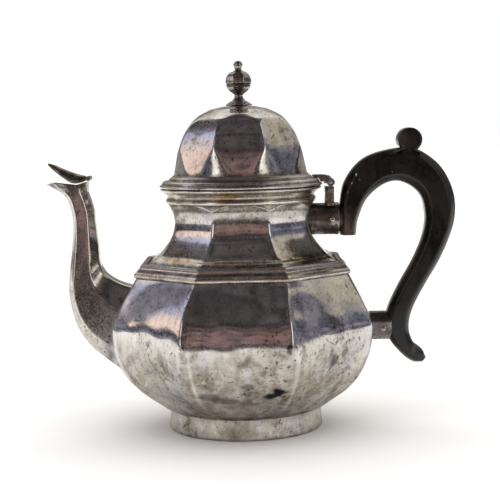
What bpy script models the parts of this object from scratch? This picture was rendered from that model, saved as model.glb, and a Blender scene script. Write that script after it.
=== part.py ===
"""Silver teapot: an eight-panelled pear body with a domed hinged lid, a faceted swan-neck
spout with a hinged flap, and a scrolled wooden handle held in two silver sockets.

Lengths below are millimetres and become metres where a mesh is made.  X runs from the
spout (-X) to the handle (+X) and Z is up, with the foot standing on Z = 0.  The shapes are
drawn about the pot's own upright axis, which stands POT_AXIS_X from the model's origin so
that the origin is under the middle of the whole teapot.
"""

import math

import bmesh
import bpy
from mathutils import Vector

MM = 0.001
POT_AXIS_X = -4.3

# Driving dimensions
WALL = 1.0
GAP = 0.3
PANELS = 8
ROUND_SEGMENTS = 32

FOOT_HEIGHT = 9.7
BOWL_BOTTOM_Z = 10.0
BOWL_TOP_Z = 76.2
NECK_TOP_Z = 105.6
RIM_TOP_Z = 113.0
LID_BOTTOM_Z = 113.3
DOME_BOTTOM_Z = 119.3
FINIAL_TOP_Z = 171.8

BASE_OPENING_RADIUS = 33.0
BASE_DISC_RADIUS = 36.0
MOUTH_RADIUS = 32.6

LID_HINGE = (42.0, 114.6)
LID_KNUCKLE_RADIUS = 1.9
LID_PIN_RADIUS = 0.75
LID_HINGE_HALF_WIDTH = 5.9
LID_MIDDLE_HALF_WIDTH = 2.7
POST_NEAR_X = 39.2
POST_FAR_X = 43.6

FLAP_HINGE = (-71.2, 118.7)
FLAP_KNUCKLE_RADIUS = 1.15
FLAP_PIN_RADIUS = 0.45
FLAP_HINGE_HALF_WIDTH = 4.2
FLAP_MIDDLE_HALF_WIDTH = 1.9

UPPER_SOCKET_Z = 97.3
UPPER_SOCKET_RADIUS = 7.6
UPPER_SOCKET_END_X = 45.8
UPPER_PIN_X = 42.3

LOWER_SOCKET_Z = 46.2
LOWER_SOCKET_APOTHEM = 6.5
LOWER_SOCKET_END_X = 71.0
LOWER_PIN_X = 65.5
LOWER_PIN_Z = 45.3

HANDLE_PIN_RADIUS = 1.1
TENON_CLEARANCE = 0.3

SPOUT_HOLE_Z = 47.0
SPOUT_HOLE_RADIUS = 7.5

# Outlines of the panelled shells: half-width across two opposite panels, and height.
BOWL_CURVE = [
    (37.0, 10.0), (40.0, 12.2), (45.0, 17.0), (49.0, 20.8), (52.6, 25.0), (56.0, 30.8),
    (58.4, 37.0), (59.6, 43.5), (59.6, 49.5), (58.2, 55.0), (55.6, 61.0), (52.2, 67.5),
    (49.0, 72.8), (47.4, 75.0), (46.2, 76.2),
]
NECK_CURVE = [
    (45.4, 76.6), (43.4, 78.8), (41.4, 80.7), (39.4, 82.0), (37.4, 84.0), (35.0, 87.0),
    (32.8, 90.2), (31.4, 93.6), (30.9, 97.3), (31.6, 101.3), (34.0, 105.6),
]
DOME_CURVE = [
    (31.2, 119.3), (30.0, 124.5), (28.8, 129.0), (27.4, 133.5), (25.2, 138.8),
    (21.9, 143.6), (18.2, 147.2), (13.3, 149.6), (7.0, 150.7), (1.2, 151.0),
]


# ---------------------------------------------------------------------------------------
# Curves

def smooth(points, steps):
    """Points of a Catmull-Rom curve through the given points, steps to each stretch."""
    first = [2 * a - b for a, b in zip(points[0], points[1])]
    last = [2 * a - b for a, b in zip(points[-1], points[-2])]
    knots = [first] + [list(p) for p in points] + [last]
    curve = []
    for i in range(1, len(knots) - 2):
        for k in range(steps):
            t = k / steps
            weights = (
                -0.5 * t + t * t - 0.5 * t ** 3,
                1 - 2.5 * t * t + 1.5 * t ** 3,
                0.5 * t + 2 * t * t - 1.5 * t ** 3,
                -0.5 * t * t + 0.5 * t ** 3,
            )
            stretch = knots[i - 1:i + 3]
            curve.append(tuple(sum(w * p[d] for w, p in zip(weights, stretch))
                               for d in range(len(points[0]))))
    curve.append(tuple(points[-1]))
    return curve


def offset(curve, distance):
    """The curve moved sideways, to its right when distance is positive."""
    moved = []
    for i, (x, z) in enumerate(curve):
        x0, z0 = curve[max(i - 1, 0)]
        x1, z1 = curve[min(i + 1, len(curve) - 1)]
        length = math.hypot(x1 - x0, z1 - z0)
        moved.append((x + distance * (z1 - z0) / length, z - distance * (x1 - x0) / length))
    return moved


def ramp(value, start, end):
    """0 at start, 1 at end, straight between them."""
    return min(1.0, max(0.0, (value - start) / (end - start)))


# ---------------------------------------------------------------------------------------
# Cross-sections about the upright axis

def panel_radius(half_width, angle, roundness):
    """Radius of an eight-sided section at an angle, eased towards a circle by roundness."""
    panel = 2 * math.pi / PANELS
    across = (angle + panel / 2) % panel - panel / 2
    flat = half_width / math.cos(across)
    return flat + (half_width - flat) * roundness


def bowl_roundness(z):
    return ramp(z, 17.0, 10.0)


def neck_roundness(z):
    return ramp(z, 98.0, 105.6)


def dome_roundness(z):
    return max(ramp(z, 130.0, 119.5), ramp(z, 143.0, 149.5))


def no_roundness(_z):
    return 0.0


def full_roundness(_z):
    return 1.0


# ---------------------------------------------------------------------------------------
# Meshes

def make_object(name, verts, faces, material, frame):
    """A mesh object from millimetre points in the pot's frame, hung from an empty."""
    mesh = bpy.data.meshes.new(name)
    mesh.from_pydata([Vector(v) * MM for v in verts], [], faces)
    bm = bmesh.new()
    bm.from_mesh(mesh)
    bmesh.ops.recalc_face_normals(bm, faces=bm.faces)
    bm.to_mesh(mesh)
    bm.free()
    mesh.shade_smooth()
    mesh.set_sharp_from_angle(angle=math.radians(28))
    obj = bpy.data.objects.new(name, mesh)
    bpy.context.collection.objects.link(obj)
    if material is not None:
        mesh.materials.append(material)
    obj.parent = frame["empty"]
    obj.location = Vector(frame["shift"]) * MM
    return obj


def rings_to_faces(ring_count, ring_size, joined):
    """Quads between neighbouring rings; joined also bridges the last ring to the first."""
    faces = []
    for i in range(ring_count if joined else ring_count - 1):
        here = i * ring_size
        there = ((i + 1) % ring_count) * ring_size
        for k in range(ring_size):
            n = (k + 1) % ring_size
            faces.append((here + k, here + n, there + n, there + k))
    return faces


def loft(rings):
    """A solid through a row of rings, closed by a face at each end."""
    size = len(rings[0])
    verts = [p for ring in rings for p in ring]
    faces = rings_to_faces(len(rings), size, False)
    faces.append(tuple(reversed(range(size))))
    faces.append(tuple(range((len(rings) - 1) * size, len(rings) * size)))
    return verts, faces


def tube_loft(outer, inner):
    """A pipe through two rows of rings, open at both ends."""
    rings = outer + inner[::-1]
    verts = [p for ring in rings for p in ring]
    return verts, rings_to_faces(len(rings), len(rings[0]), True)


def turned_ring(section, roundness=full_roundness, segments=ROUND_SEGMENTS):
    """A closed section (half-width, z) carried round the upright axis."""
    rings = []
    for k in range(segments):
        angle = 2 * math.pi * (k + 0.5 * (segments == PANELS)) / segments
        ring = []
        for half_width, z in section:
            radius = panel_radius(half_width, angle, roundness(z))
            ring.append((radius * math.cos(angle), radius * math.sin(angle), z))
        rings.append(ring)
    verts = [p for ring in rings for p in ring]
    return verts, rings_to_faces(segments, len(section), True)


def turned_solid(curve, roundness=full_roundness, segments=ROUND_SEGMENTS):
    """A solid of revolution whose curve runs up its outside, with flat round ends."""
    rings = []
    for half_width, z in curve:
        ring = []
        for k in range(segments):
            angle = 2 * math.pi * (k + 0.5 * (segments == PANELS)) / segments
            radius = panel_radius(half_width, angle, roundness(z))
            ring.append((radius * math.cos(angle), radius * math.sin(angle), z))
        rings.append(ring)
    return loft(rings)


def shell(curve, thickness, roundness, segments=ROUND_SEGMENTS):
    """A thin wall inside an outer curve that runs upwards."""
    inner = offset(curve, -thickness)
    inner[0] = (inner[0][0], curve[0][1])
    inner[-1] = (inner[-1][0], curve[-1][1])
    return turned_ring(curve + inner[::-1], roundness, segments)


def cylinder(centre, axis, radius, half_length, segments=16):
    """A round bar about a point, along x, y or z."""
    rings = []
    for end in (-half_length, half_length):
        ring = []
        for k in range(segments):
            angle = 2 * math.pi * (k + 0.5) / segments
            u = radius * math.cos(angle)
            v = radius * math.sin(angle)
            local = {"x": (end, u, v), "y": (u, end, v), "z": (u, v, end)}[axis]
            ring.append(tuple(c + d for c, d in zip(centre, local)))
        rings.append(ring)
    return loft(rings)


def tube(centre, axis, outer_radius, inner_radius, half_length, segments=16):
    """A round pipe about a point, along x, y or z."""
    outer = cylinder(centre, axis, outer_radius, half_length, segments)[0]
    inner = cylinder(centre, axis, inner_radius, half_length, segments)[0]
    return tube_loft([outer[:segments], outer[segments:]], [inner[:segments], inner[segments:]])


def plate(outline, y_low, y_high):
    """A side outline in X and Z given a thickness in Y."""
    return loft([[(x, y, z) for x, z in outline] for y in (y_low, y_high)])


def cut(target, name, shape, operation="DIFFERENCE"):
    """A Boolean with a hidden tool that follows the target's frame."""
    verts, faces = shape
    tool = make_object(name, verts, faces, None, {"empty": target.parent, "shift": (0, 0, 0)})
    tool.location = target.location
    tool.hide_render = True
    tool.display_type = "WIRE"
    modifier = target.modifiers.new(name, "BOOLEAN")
    modifier.operation = operation
    modifier.solver = "EXACT"
    modifier.object = tool


# ---------------------------------------------------------------------------------------
# Materials

def make_material(name, colour, roughness, metallic):
    material = bpy.data.materials.new(name)
    material.use_nodes = True
    shader = material.node_tree.nodes["Principled BSDF"]
    shader.inputs["Base Color"].default_value = (*colour, 1.0)
    shader.inputs["Roughness"].default_value = roughness
    shader.inputs["Metallic"].default_value = metallic
    return material


def silver(name, shade=1.0, roughness=0.22):
    warm_grey = (0.70, 0.67, 0.62)
    return make_material(name, [c * shade for c in warm_grey], roughness, 1.0)


# ---------------------------------------------------------------------------------------
# Body

def add_foot_ring(frame):
    section = [
        (36.1, FOOT_HEIGHT), (35.9, 7.5), (36.1, 4.0), (36.3, 1.6), (36.1, 0.5), (35.6, 0.0),
        (33.7, 0.0), (33.9, 3.0), (34.1, 7.6), (33.2, 8.7), (33.2, FOOT_HEIGHT),
    ]
    make_object("foot_ring", *turned_ring(section), silver("foot_silver", 0.85, 0.32), frame)


def add_base_disc(frame):
    low = BOWL_BOTTOM_Z + WALL + GAP
    disc = turned_solid([(BASE_DISC_RADIUS, low), (BASE_DISC_RADIUS, low + WALL)])
    make_object("base_disc", *disc, silver("base_silver", 0.8, 0.35), frame)


def bowl_outline(distance=0.0):
    return offset(smooth(BOWL_CURVE, 2), distance)


def bowl_envelope():
    """The bowl's outside grown by the joint gap, as a solid."""
    curve = bowl_outline(GAP)
    return turned_solid([(curve[0][0], curve[0][1] - 1.0)] + curve, bowl_roundness, 16)


def add_bowl(frame):
    outer = bowl_outline()
    inner = bowl_outline(-WALL)
    inner[-1] = (inner[-1][0], BOWL_TOP_Z)
    inner = [p for p in inner if p[1] > BOWL_BOTTOM_Z + WALL + 0.2]
    floor_z = BOWL_BOTTOM_Z + WALL
    lip = [(36.6, floor_z), (BASE_OPENING_RADIUS, floor_z), (BASE_OPENING_RADIUS, BOWL_BOTTOM_Z)]
    verts, faces = turned_ring(outer + inner[::-1] + lip, bowl_roundness, 16)
    bowl = make_object("bowl", verts, faces, silver("bowl_silver"), frame)
    hole = cylinder((-58.0, 0, SPOUT_HOLE_Z), "x", SPOUT_HOLE_RADIUS, 8.0)
    cut(bowl, "spout_hole_tool", hole)


def add_strainer(frame):
    """A curved plate pierced with seven holes, soldered inside the bowl over the spout hole."""
    inner_face = [(x, z) for x, z in bowl_outline(-WALL - GAP)
                  if SPOUT_HOLE_Z - 11.5 < z < SPOUT_HOLE_Z + 11.5]
    back_face = offset(inner_face, -0.8)
    outline = [(-x, z) for x, z in inner_face] + [(-x, z) for x, z in back_face[::-1]]
    strainer = make_object("spout_strainer", *plate(outline, -9.0, 9.0),
                           silver("strainer_silver", 0.75, 0.35), frame)
    places = [(0.0, 0.0)]
    for k in range(6):
        angle = math.radians(60 * k)
        places.append((4.4 * math.cos(angle), 4.4 * math.sin(angle)))
    for number, (y, z) in enumerate(places):
        hole = cylinder((-58.0, y, SPOUT_HOLE_Z + z), "x", 1.1, 6.0, 8)
        cut(strainer, f"strainer_hole_tool_{number}", hole)


def add_girdle(frame):
    """The eight-sided double moulding over the seam between bowl and neck."""
    seam = [(48.6, 73.4), (47.4, 75.0), (46.2, 76.2), (45.4, 76.6), (43.9, 78.2)]
    section = [
        (49.2, 73.5), (49.5, 73.9), (49.6, 74.4), (49.3, 75.2), (48.5, 75.7), (47.8, 76.4),
        (46.6, 77.7), (46.4, 78.1), (46.5, 78.6), (46.1, 79.3), (45.2, 79.6), (44.3, 79.2),
    ]
    girdle = turned_ring(section + offset(seam, GAP)[::-1], no_roundness, PANELS)
    make_object("girdle_moulding", *girdle, silver("girdle_silver", 0.9, 0.25), frame)


def neck_outline(distance=0.0):
    return offset(smooth(NECK_CURVE, 1), distance)


def neck_envelope():
    """The neck's outside grown by the joint gap, as a solid."""
    return turned_solid(neck_outline(GAP), neck_roundness)


def add_neck(frame):
    verts, faces = shell(neck_outline(), WALL, neck_roundness)
    make_object("neck", verts, faces, silver("neck_silver"), frame)


def add_rim_moulding(frame):
    low = NECK_TOP_Z + GAP
    section = [
        (34.2, low), (34.9, 106.5), (35.1, 107.3), (34.8, 108.2), (34.4, 108.6), (34.9, 109.9),
        (36.3, 111.4), (37.6, 112.1), (37.9, 112.6), (37.6, RIM_TOP_Z),
        (MOUTH_RADIUS, RIM_TOP_Z), (MOUTH_RADIUS, low),
    ]
    make_object("rim_moulding", *turned_ring(section), silver("rim_silver", 0.8, 0.35), frame)


# ---------------------------------------------------------------------------------------
# Spout

# Each station: outer edge (x, z), inner edge (x, z), half-depth in Y, and how far its
# section has turned from the faceted pipe to the pointed plan of the beak.
SPOUT_STATIONS = [
    (-55.1, 25.9, -47.1, 66.2, 12.8, 0.0),
    (-63.1, 32.3, -55.7, 68.6, 12.4, 0.0),
    (-72.0, 39.6, -60.8, 71.0, 11.2, 0.0),
    (-77.8, 48.2, -64.5, 74.0, 10.0, 0.0),
    (-80.7, 56.8, -66.4, 77.5, 9.0, 0.0),
    (-81.9, 65.4, -67.1, 81.2, 8.2, 0.0),
    (-81.4, 74.9, -67.3, 85.7, 7.5, 0.0),
    (-80.0, 85.4, -67.9, 90.8, 6.9, 0.0),
    (-79.3, 95.4, -68.4, 96.9, 6.4, 0.0),
    (-79.6, 102.2, -68.9, 102.2, 6.0, 0.0),
    (-81.3, 108.7, -70.4, 108.3, 5.6, 0.0),
    (-84.4, 112.2, -71.6, 112.1, 5.4, 0.3),
    (-88.1, 114.3, -71.6, 114.9, 5.3, 0.7),
    (-91.6, 116.1, -71.6, 117.2, 5.2, 1.0),
]
# Section corners from the outer edge to the inner one: place along, and half-depth as a
# faceted pipe and as the beak.
SPOUT_CORNERS = [
    (-1.0, 0.50, 0.12), (-0.66, 1.0, 0.50), (-0.13, 1.0, 0.84), (0.40, 1.0, 1.0), (1.0, 0.45, 0.80),
]
BEAK_DIP = (0.0, 0.6, -0.35, -1.35, 0.0)


def spout_ring(station, inset):
    """One section of the spout, its outside drawn in by inset."""
    x0, z0, x1, z1, half_depth, beak = station
    middle = Vector(((x0 + x1) / 2, 0, (z0 + z1) / 2))
    half = Vector(((x1 - x0) / 2, 0, (z1 - z0) / 2))
    along = 1 - inset / half.length
    depth = half_depth - inset
    near = []
    for (place, pipe, leaf), dip in zip(SPOUT_CORNERS, BEAK_DIP):
        point = middle + half * (place * along)
        y = depth * (pipe + (leaf - pipe) * beak)
        near.append((point.x, y, point.z + dip * max(0.0, 2 * beak - 1)))
    far = [(x, -y, z) for x, y, z in near[::-1]]
    return near + far


def add_spout(frame):
    stations = smooth(SPOUT_STATIONS, 1)
    outer = [spout_ring(s, 0.0) for s in stations]
    inner = [spout_ring(s, WALL) for s in stations]
    spout = make_object("spout", *tube_loft(outer, inner), silver("spout_silver", 0.9), frame)
    cut(spout, "spout_seat_tool", bowl_envelope())


def add_spout_hinge(frame):
    x, z = FLAP_HINGE
    half = (FLAP_HINGE_HALF_WIDTH - FLAP_MIDDLE_HALF_WIDTH - GAP) / 2
    centre_y = FLAP_HINGE_HALF_WIDTH - half
    metal = silver("spout_hinge_silver", 0.8, 0.3)
    bore = FLAP_PIN_RADIUS + GAP / 2
    for name, side in (("flap_knuckle_front", -1), ("flap_knuckle_back", 1)):
        knuckle = tube((x, side * centre_y, z), "y", FLAP_KNUCKLE_RADIUS, bore, half, 12)
        make_object(name, *knuckle, metal, frame)
    pin = cylinder((x, 0, z), "y", FLAP_PIN_RADIUS, FLAP_HINGE_HALF_WIDTH + 0.1, 12)
    make_object("flap_pin", *pin, silver("flap_pin_silver", 0.7, 0.3), frame)


# Each station of the flap from its hinge end to its tip: x, underside z, top z, half-width.
FLAP_STATIONS = [
    (-72.8, 117.7, 119.8, 3.3),
    (-75.6, 116.6, 120.6, 4.6),
    (-79.0, 116.8, 121.7, 4.9),
    (-83.0, 119.6, 123.4, 4.1),
    (-86.5, 122.1, 125.0, 2.8),
    (-89.2, 124.3, 125.9, 1.3),
    (-90.1, 125.1, 126.0, 0.6),
]


def add_flap(frame):
    """The beak's upper half: a dished leaf with its rim turned down."""
    rings = []
    for x, low, high, half in FLAP_STATIONS:
        rise = high - low
        rim = min(0.8, half * 0.45)
        near = [(half, 0.0), (half, 0.42), (half * 0.55, 0.86), (half * 0.2, 1.0)]
        back = [(half * 0.2, 0.55), (half * 0.5, 0.5), (half - rim, 0.3), (half - rim, 0.0)]
        outer = near + [(-y, h) for y, h in near[::-1]]
        inner = [(-y, h) for y, h in back[::-1]] + back
        rings.append([(x, y, low + rise * h) for y, h in outer + inner])
    make_object("spout_flap", *loft(rings), silver("flap_silver", 0.75, 0.3), frame)


def add_flap_knuckle(frame):
    x, z = FLAP_HINGE
    bore = FLAP_PIN_RADIUS + GAP / 2
    knuckle = tube((x, 0, z), "y", FLAP_KNUCKLE_RADIUS, bore, FLAP_MIDDLE_HALF_WIDTH, 12)
    make_object("flap_knuckle_middle", *knuckle, silver("flap_knuckle_silver", 0.8, 0.3), frame)


# ---------------------------------------------------------------------------------------
# Handle, its sockets and pins

# Each station from the upper end to the scrolled foot: the edge towards the pot, the edge
# away from it, and the half-thickness in Y.
HANDLE_STATIONS = [
    (53.5, 89.7, 46.3, 89.7, 7.3),
    (54.5, 96.6, 46.2, 97.1, 7.4),
    (58.1, 105.3, 46.3, 105.3, 7.3),
    (63.1, 110.6, 48.9, 115.2, 7.1),
    (68.2, 113.6, 55.9, 124.0, 7.0),
    (73.0, 114.4, 65.9, 128.4, 6.9),
    (77.7, 113.0, 80.2, 129.7, 6.9),
    (82.0, 110.0, 90.7, 123.7, 6.8),
    (84.8, 105.9, 96.7, 115.7, 6.7),
    (86.0, 99.9, 99.9, 106.0, 6.6),
    (86.0, 94.2, 99.8, 96.2, 6.5),
    (84.3, 86.5, 96.9, 86.5, 6.4),
    (80.0, 76.8, 92.3, 76.5, 6.3),
    (74.5, 67.3, 86.3, 66.5, 6.2),
    (69.7, 58.2, 81.4, 57.7, 6.1),
    (67.3, 51.7, 78.6, 50.8, 6.0),
    (67.1, 44.8, 77.9, 44.9, 5.9),
    (69.0, 39.2, 78.7, 40.8, 5.8),
    (72.6, 34.4, 80.3, 37.6, 5.7),
    (76.7, 30.5, 82.5, 35.9, 5.5),
    (80.1, 28.6, 84.5, 33.9, 5.0),
    (83.0, 28.4, 85.5, 31.4, 4.0),
]
HANDLE_CORNERS = [(-1.0, 0.5), (-0.6, 1.0), (0.6, 1.0), (1.0, 0.5)]
CURL_CENTRE = (79.0, 133.4)
CURL_RADIUS = 5.7


def handle_ring(station, grow):
    """One eight-cornered section of the handle, its outside grown by grow."""
    x0, z0, x1, z1, half_depth = station
    middle = Vector(((x0 + x1) / 2, 0, (z0 + z1) / 2))
    half = Vector(((x1 - x0) / 2, 0, (z1 - z0) / 2))
    along = 1 + grow / half.length
    near = []
    for place, depth in HANDLE_CORNERS:
        point = middle + half * (place * along)
        near.append((point.x, (half_depth + grow) * depth, point.z))
    far = [(x, -y, z) for x, y, z in near[::-1]]
    return near + far


def handle_body(grow=0.0):
    return loft([handle_ring(s, grow) for s in smooth(HANDLE_STATIONS, 2)])


def curl():
    """The rolled thumb-piece on top of the handle, a barrel lying across it."""
    x, z = CURL_CENTRE
    rings = []
    for y, radius in ((-6.2, 4.4), (-5.0, CURL_RADIUS), (5.0, CURL_RADIUS), (6.2, 4.4)):
        ring = []
        for k in range(16):
            angle = 2 * math.pi * k / 16
            ring.append((x + radius * math.cos(angle), y, z + radius * math.sin(angle)))
        rings.append(ring)
    return loft(rings)


def curl_neck():
    """The wood between the curl and the handle's back."""
    outline = [
        (71.0, 127.0), (84.3, 127.0), (84.0, 129.8), (84.6, 132.4), (82.0, 135.0),
        (77.0, 132.9), (74.7, 130.2), (71.0, 129.0),
    ]
    return plate(outline, -5.6, 5.6)


def upper_tenon():
    radius = UPPER_SOCKET_RADIUS - WALL - TENON_CLEARANCE
    return cylinder((44.0, 0, UPPER_SOCKET_Z), "x", radius, 6.0, 24)


def lower_tenon():
    radius = (LOWER_SOCKET_APOTHEM - WALL - TENON_CLEARANCE) / math.cos(math.pi / PANELS)
    return cylinder((68.0, 0, LOWER_SOCKET_Z), "x", radius, 5.5, PANELS)


def pin_bore(x, z):
    return cylinder((x, 0, z), "y", HANDLE_PIN_RADIUS + GAP, 12.0, 12)


def add_handle(frame):
    verts, faces = handle_body()
    wood = make_material("ebonised_wood", (0.028, 0.02, 0.016), 0.42, 0.0)
    handle = make_object("handle", verts, faces, wood, frame)
    cut(handle, "curl_tool", curl(), "UNION")
    cut(handle, "curl_neck_tool", curl_neck(), "UNION")
    cut(handle, "upper_tenon_tool", upper_tenon(), "UNION")
    cut(handle, "lower_tenon_tool", lower_tenon(), "UNION")
    cut(handle, "upper_pin_bore_tool", pin_bore(UPPER_PIN_X, UPPER_SOCKET_Z))
    cut(handle, "lower_pin_bore_tool", pin_bore(LOWER_PIN_X, LOWER_PIN_Z))


def add_upper_socket(frame):
    start = 29.0
    centre = ((start + UPPER_SOCKET_END_X) / 2, 0, UPPER_SOCKET_Z)
    half = (UPPER_SOCKET_END_X - start) / 2
    pipe = tube(centre, "x", UPPER_SOCKET_RADIUS, UPPER_SOCKET_RADIUS - WALL, half, 24)
    socket = make_object("upper_handle_socket", *pipe, silver("upper_socket_silver", 0.6, 0.3), frame)
    cut(socket, "neck_seat_tool", neck_envelope())
    cut(socket, "upper_socket_bore_tool", pin_bore(UPPER_PIN_X, UPPER_SOCKET_Z))


def add_lower_socket(frame):
    start = 54.0
    centre = ((start + LOWER_SOCKET_END_X) / 2, 0, LOWER_SOCKET_Z)
    half = (LOWER_SOCKET_END_X - start) / 2
    corner = 1 / math.cos(math.pi / PANELS)
    outer = LOWER_SOCKET_APOTHEM * corner
    inner = (LOWER_SOCKET_APOTHEM - WALL) * corner
    pipe = tube(centre, "x", outer, inner, half, PANELS)
    socket = make_object("lower_handle_socket", *pipe, silver("lower_socket_silver", 0.65, 0.3), frame)
    cut(socket, "bowl_seat_tool", bowl_envelope())
    cut(socket, "handle_seat_tool", handle_body(GAP))
    cut(socket, "lower_socket_bore_tool", pin_bore(LOWER_PIN_X, LOWER_PIN_Z))


def add_handle_pins(frame):
    metal = silver("pin_silver", 0.8, 0.3)
    for name, x, z, half in (
        ("upper_handle_pin", UPPER_PIN_X, UPPER_SOCKET_Z, UPPER_SOCKET_RADIUS + 0.2),
        ("lower_handle_pin", LOWER_PIN_X, LOWER_PIN_Z, LOWER_SOCKET_APOTHEM + 0.2),
    ):
        make_object(name, *cylinder((x, 0, z), "y", HANDLE_PIN_RADIUS, half, 12), metal, frame)


# ---------------------------------------------------------------------------------------
# Lid hinge on the pot

def add_lid_post(frame):
    """The upright bracket on the upper socket that carries the lid's outer knuckles."""
    top = LID_HINGE[1] - LID_KNUCKLE_RADIUS - GAP
    low = UPPER_SOCKET_Z + UPPER_SOCKET_RADIUS - 1.0
    half = LID_HINGE_HALF_WIDTH
    near = POST_NEAR_X
    far = POST_FAR_X
    chamfer = 1.4
    nick = 0.6
    plan = [
        (near + chamfer, -half), (far - nick, -half), (far, -half + nick), (far, half - nick),
        (far - nick, half), (near + chamfer, half), (near, half - chamfer), (near, -half + chamfer),
    ]
    rings = [[(x, y, level) for x, y in plan] for level in (low, top)]
    post = make_object("lid_hinge_post", *loft(rings), silver("post_silver", 0.55, 0.3), frame)
    centre = (37.0, 0, UPPER_SOCKET_Z)
    cut(post, "post_seat_tool", cylinder(centre, "x", UPPER_SOCKET_RADIUS + GAP, 14.0, 24))


def add_lid_knuckles(frame):
    x, z = LID_HINGE
    half = (LID_HINGE_HALF_WIDTH - LID_MIDDLE_HALF_WIDTH - GAP) / 2
    centre_y = LID_HINGE_HALF_WIDTH - half
    bore = LID_PIN_RADIUS + GAP / 2
    metal = silver("lid_knuckle_silver", 0.65, 0.3)
    for name, side in (("lid_knuckle_front", -1), ("lid_knuckle_back", 1)):
        knuckle = tube((x, side * centre_y, z), "y", LID_KNUCKLE_RADIUS, bore, half)
        make_object(name, *knuckle, metal, frame)
    pin = cylinder((x, 0, z), "y", LID_PIN_RADIUS, LID_HINGE_HALF_WIDTH + 0.2)
    make_object("lid_hinge_pin", *pin, silver("lid_pin_silver", 0.7, 0.3), frame)


# ---------------------------------------------------------------------------------------
# Lid

def add_lid_flange(frame):
    section = [
        (30.2, LID_BOTTOM_Z), (37.5, LID_BOTTOM_Z), (38.2, 113.8), (38.1, 114.5), (37.1, 114.9),
        (36.8, 115.8), (35.8, 116.6), (33.9, 117.0), (33.2, 117.9), (32.2, 118.4), (31.8, 119.0),
        (30.2, 119.0),
    ]
    make_object("lid_flange", *turned_ring(section), silver("flange_silver", 0.85, 0.28), frame)


def add_lid_bezel(frame):
    high = LID_BOTTOM_Z - GAP
    section = [(31.1, high), (31.1, 109.2), (32.0, 109.2), (32.0, high)]
    make_object("lid_bezel", *turned_ring(section[::-1]), silver("bezel_silver", 0.8, 0.3), frame)


def add_lid_dome(frame):
    curve = smooth(DOME_CURVE, 1)
    inner = [(max(1.2, r), z) for r, z in offset(curve, -WALL)]
    inner[0] = (inner[0][0], DOME_BOTTOM_Z)
    verts, faces = turned_ring(curve + inner[::-1], dome_roundness)
    make_object("lid_dome", verts, faces, silver("dome_silver"), frame)


def add_lid_arm(frame):
    """The strap from the lid's flange to its hinge, with its middle knuckle."""
    x, z = LID_HINGE
    reach = LID_KNUCKLE_RADIUS + GAP
    wrap = []
    for degrees in (200, 170, 145, 120, 90):
        angle = math.radians(degrees)
        wrap.append((x + reach * math.cos(angle), z + reach * math.sin(angle)))
    outline = [
        (33.8, 118.0), (34.0, 117.4), (36.0, 116.9), (37.3, 116.2), (37.8, 115.1), (38.7, 114.7),
        (39.1, 113.7),
    ]
    outline += wrap
    outline += [(x + 0.5, z + reach + 0.1), (x, 117.3), (40.6, 117.6), (38.0, 117.9)]
    half = LID_MIDDLE_HALF_WIDTH
    arm = plate(outline, -half, half)
    metal = silver("lid_arm_silver", 0.8, 0.3)
    make_object("lid_hinge_arm", *arm, metal, frame)
    bore = LID_PIN_RADIUS + GAP / 2
    knuckle = tube((x, 0, z), "y", LID_KNUCKLE_RADIUS, bore, half)
    make_object("lid_knuckle_middle", *knuckle, silver("lid_middle_silver", 0.7, 0.3), frame)


# ---------------------------------------------------------------------------------------
# Finial

FINIAL_BORE = 1.2


def add_finial_collar(frame):
    section = [
        (FINIAL_BORE, 151.3), (6.0, 151.3), (5.8, 151.9), (4.9, 152.2), (4.7, 152.6),
        (3.8, 153.0), (3.3, 153.7), (2.6, 154.2), (FINIAL_BORE, 154.2),
    ]
    make_object("finial_collar", *turned_ring(section, full_roundness, 16),
                silver("collar_silver", 0.55, 0.3), frame)


def add_finial_knop(frame):
    """The stem and eight-sided knop, with a double line round its middle."""
    curve = [
        (2.3, 154.5), (2.1, 155.3), (2.6, 156.5), (4.0, 157.7), (5.2, 159.1), (5.9, 160.7),
        (5.7, 161.0), (5.9, 161.4), (5.7, 161.8), (6.0, 162.4), (5.7, 164.0), (4.8, 165.6),
        (3.6, 166.7), (2.0, 167.3),
    ]
    knop = make_object("finial_knop", *turned_solid(curve, no_roundness, PANELS),
                       silver("knop_silver", 0.6, 0.2), frame)
    cut(knop, "knop_bore_tool", cylinder((0, 0, 156.0), "z", FINIAL_BORE, 3.0, 12))


def add_finial_bead(frame):
    centre_z = FINIAL_TOP_Z - 2.1
    curve = [(1.5, 167.6), (1.5, 168.1)]
    for degrees in (-30, -5, 20, 45, 70):
        angle = math.radians(degrees)
        curve.append((2.1 * math.cos(angle), centre_z + 2.1 * math.sin(angle)))
    curve.append((0.2, FINIAL_TOP_Z))
    make_object("finial_bead", *turned_solid(curve, full_roundness, 12),
                silver("bead_silver", 0.5, 0.2), frame)


def add_finial_screw(frame):
    radius = FINIAL_BORE - GAP
    screw = cylinder((0, 0, 152.0), "z", radius, 6.2, 12)
    make_object("finial_screw", *screw, silver("screw_silver", 0.8, 0.3), frame)
    nut = [(FINIAL_BORE, 147.2), (2.9, 147.2), (2.9, 149.3), (FINIAL_BORE, 149.3)]
    rings = turned_ring(nut, full_roundness, 6)
    make_object("finial_nut", *rings, silver("nut_silver", 0.8, 0.35), frame)


# ---------------------------------------------------------------------------------------
# Assembly

def make_frame(name, x, z):
    """An empty at a point of the pot's frame; what hangs from it keeps the pot's numbers."""
    empty = bpy.data.objects.new(name, None)
    bpy.context.collection.objects.link(empty)
    empty.location = Vector((POT_AXIS_X + x, 0, z)) * MM
    return {"empty": empty, "shift": (-x, 0, -z)}


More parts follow.
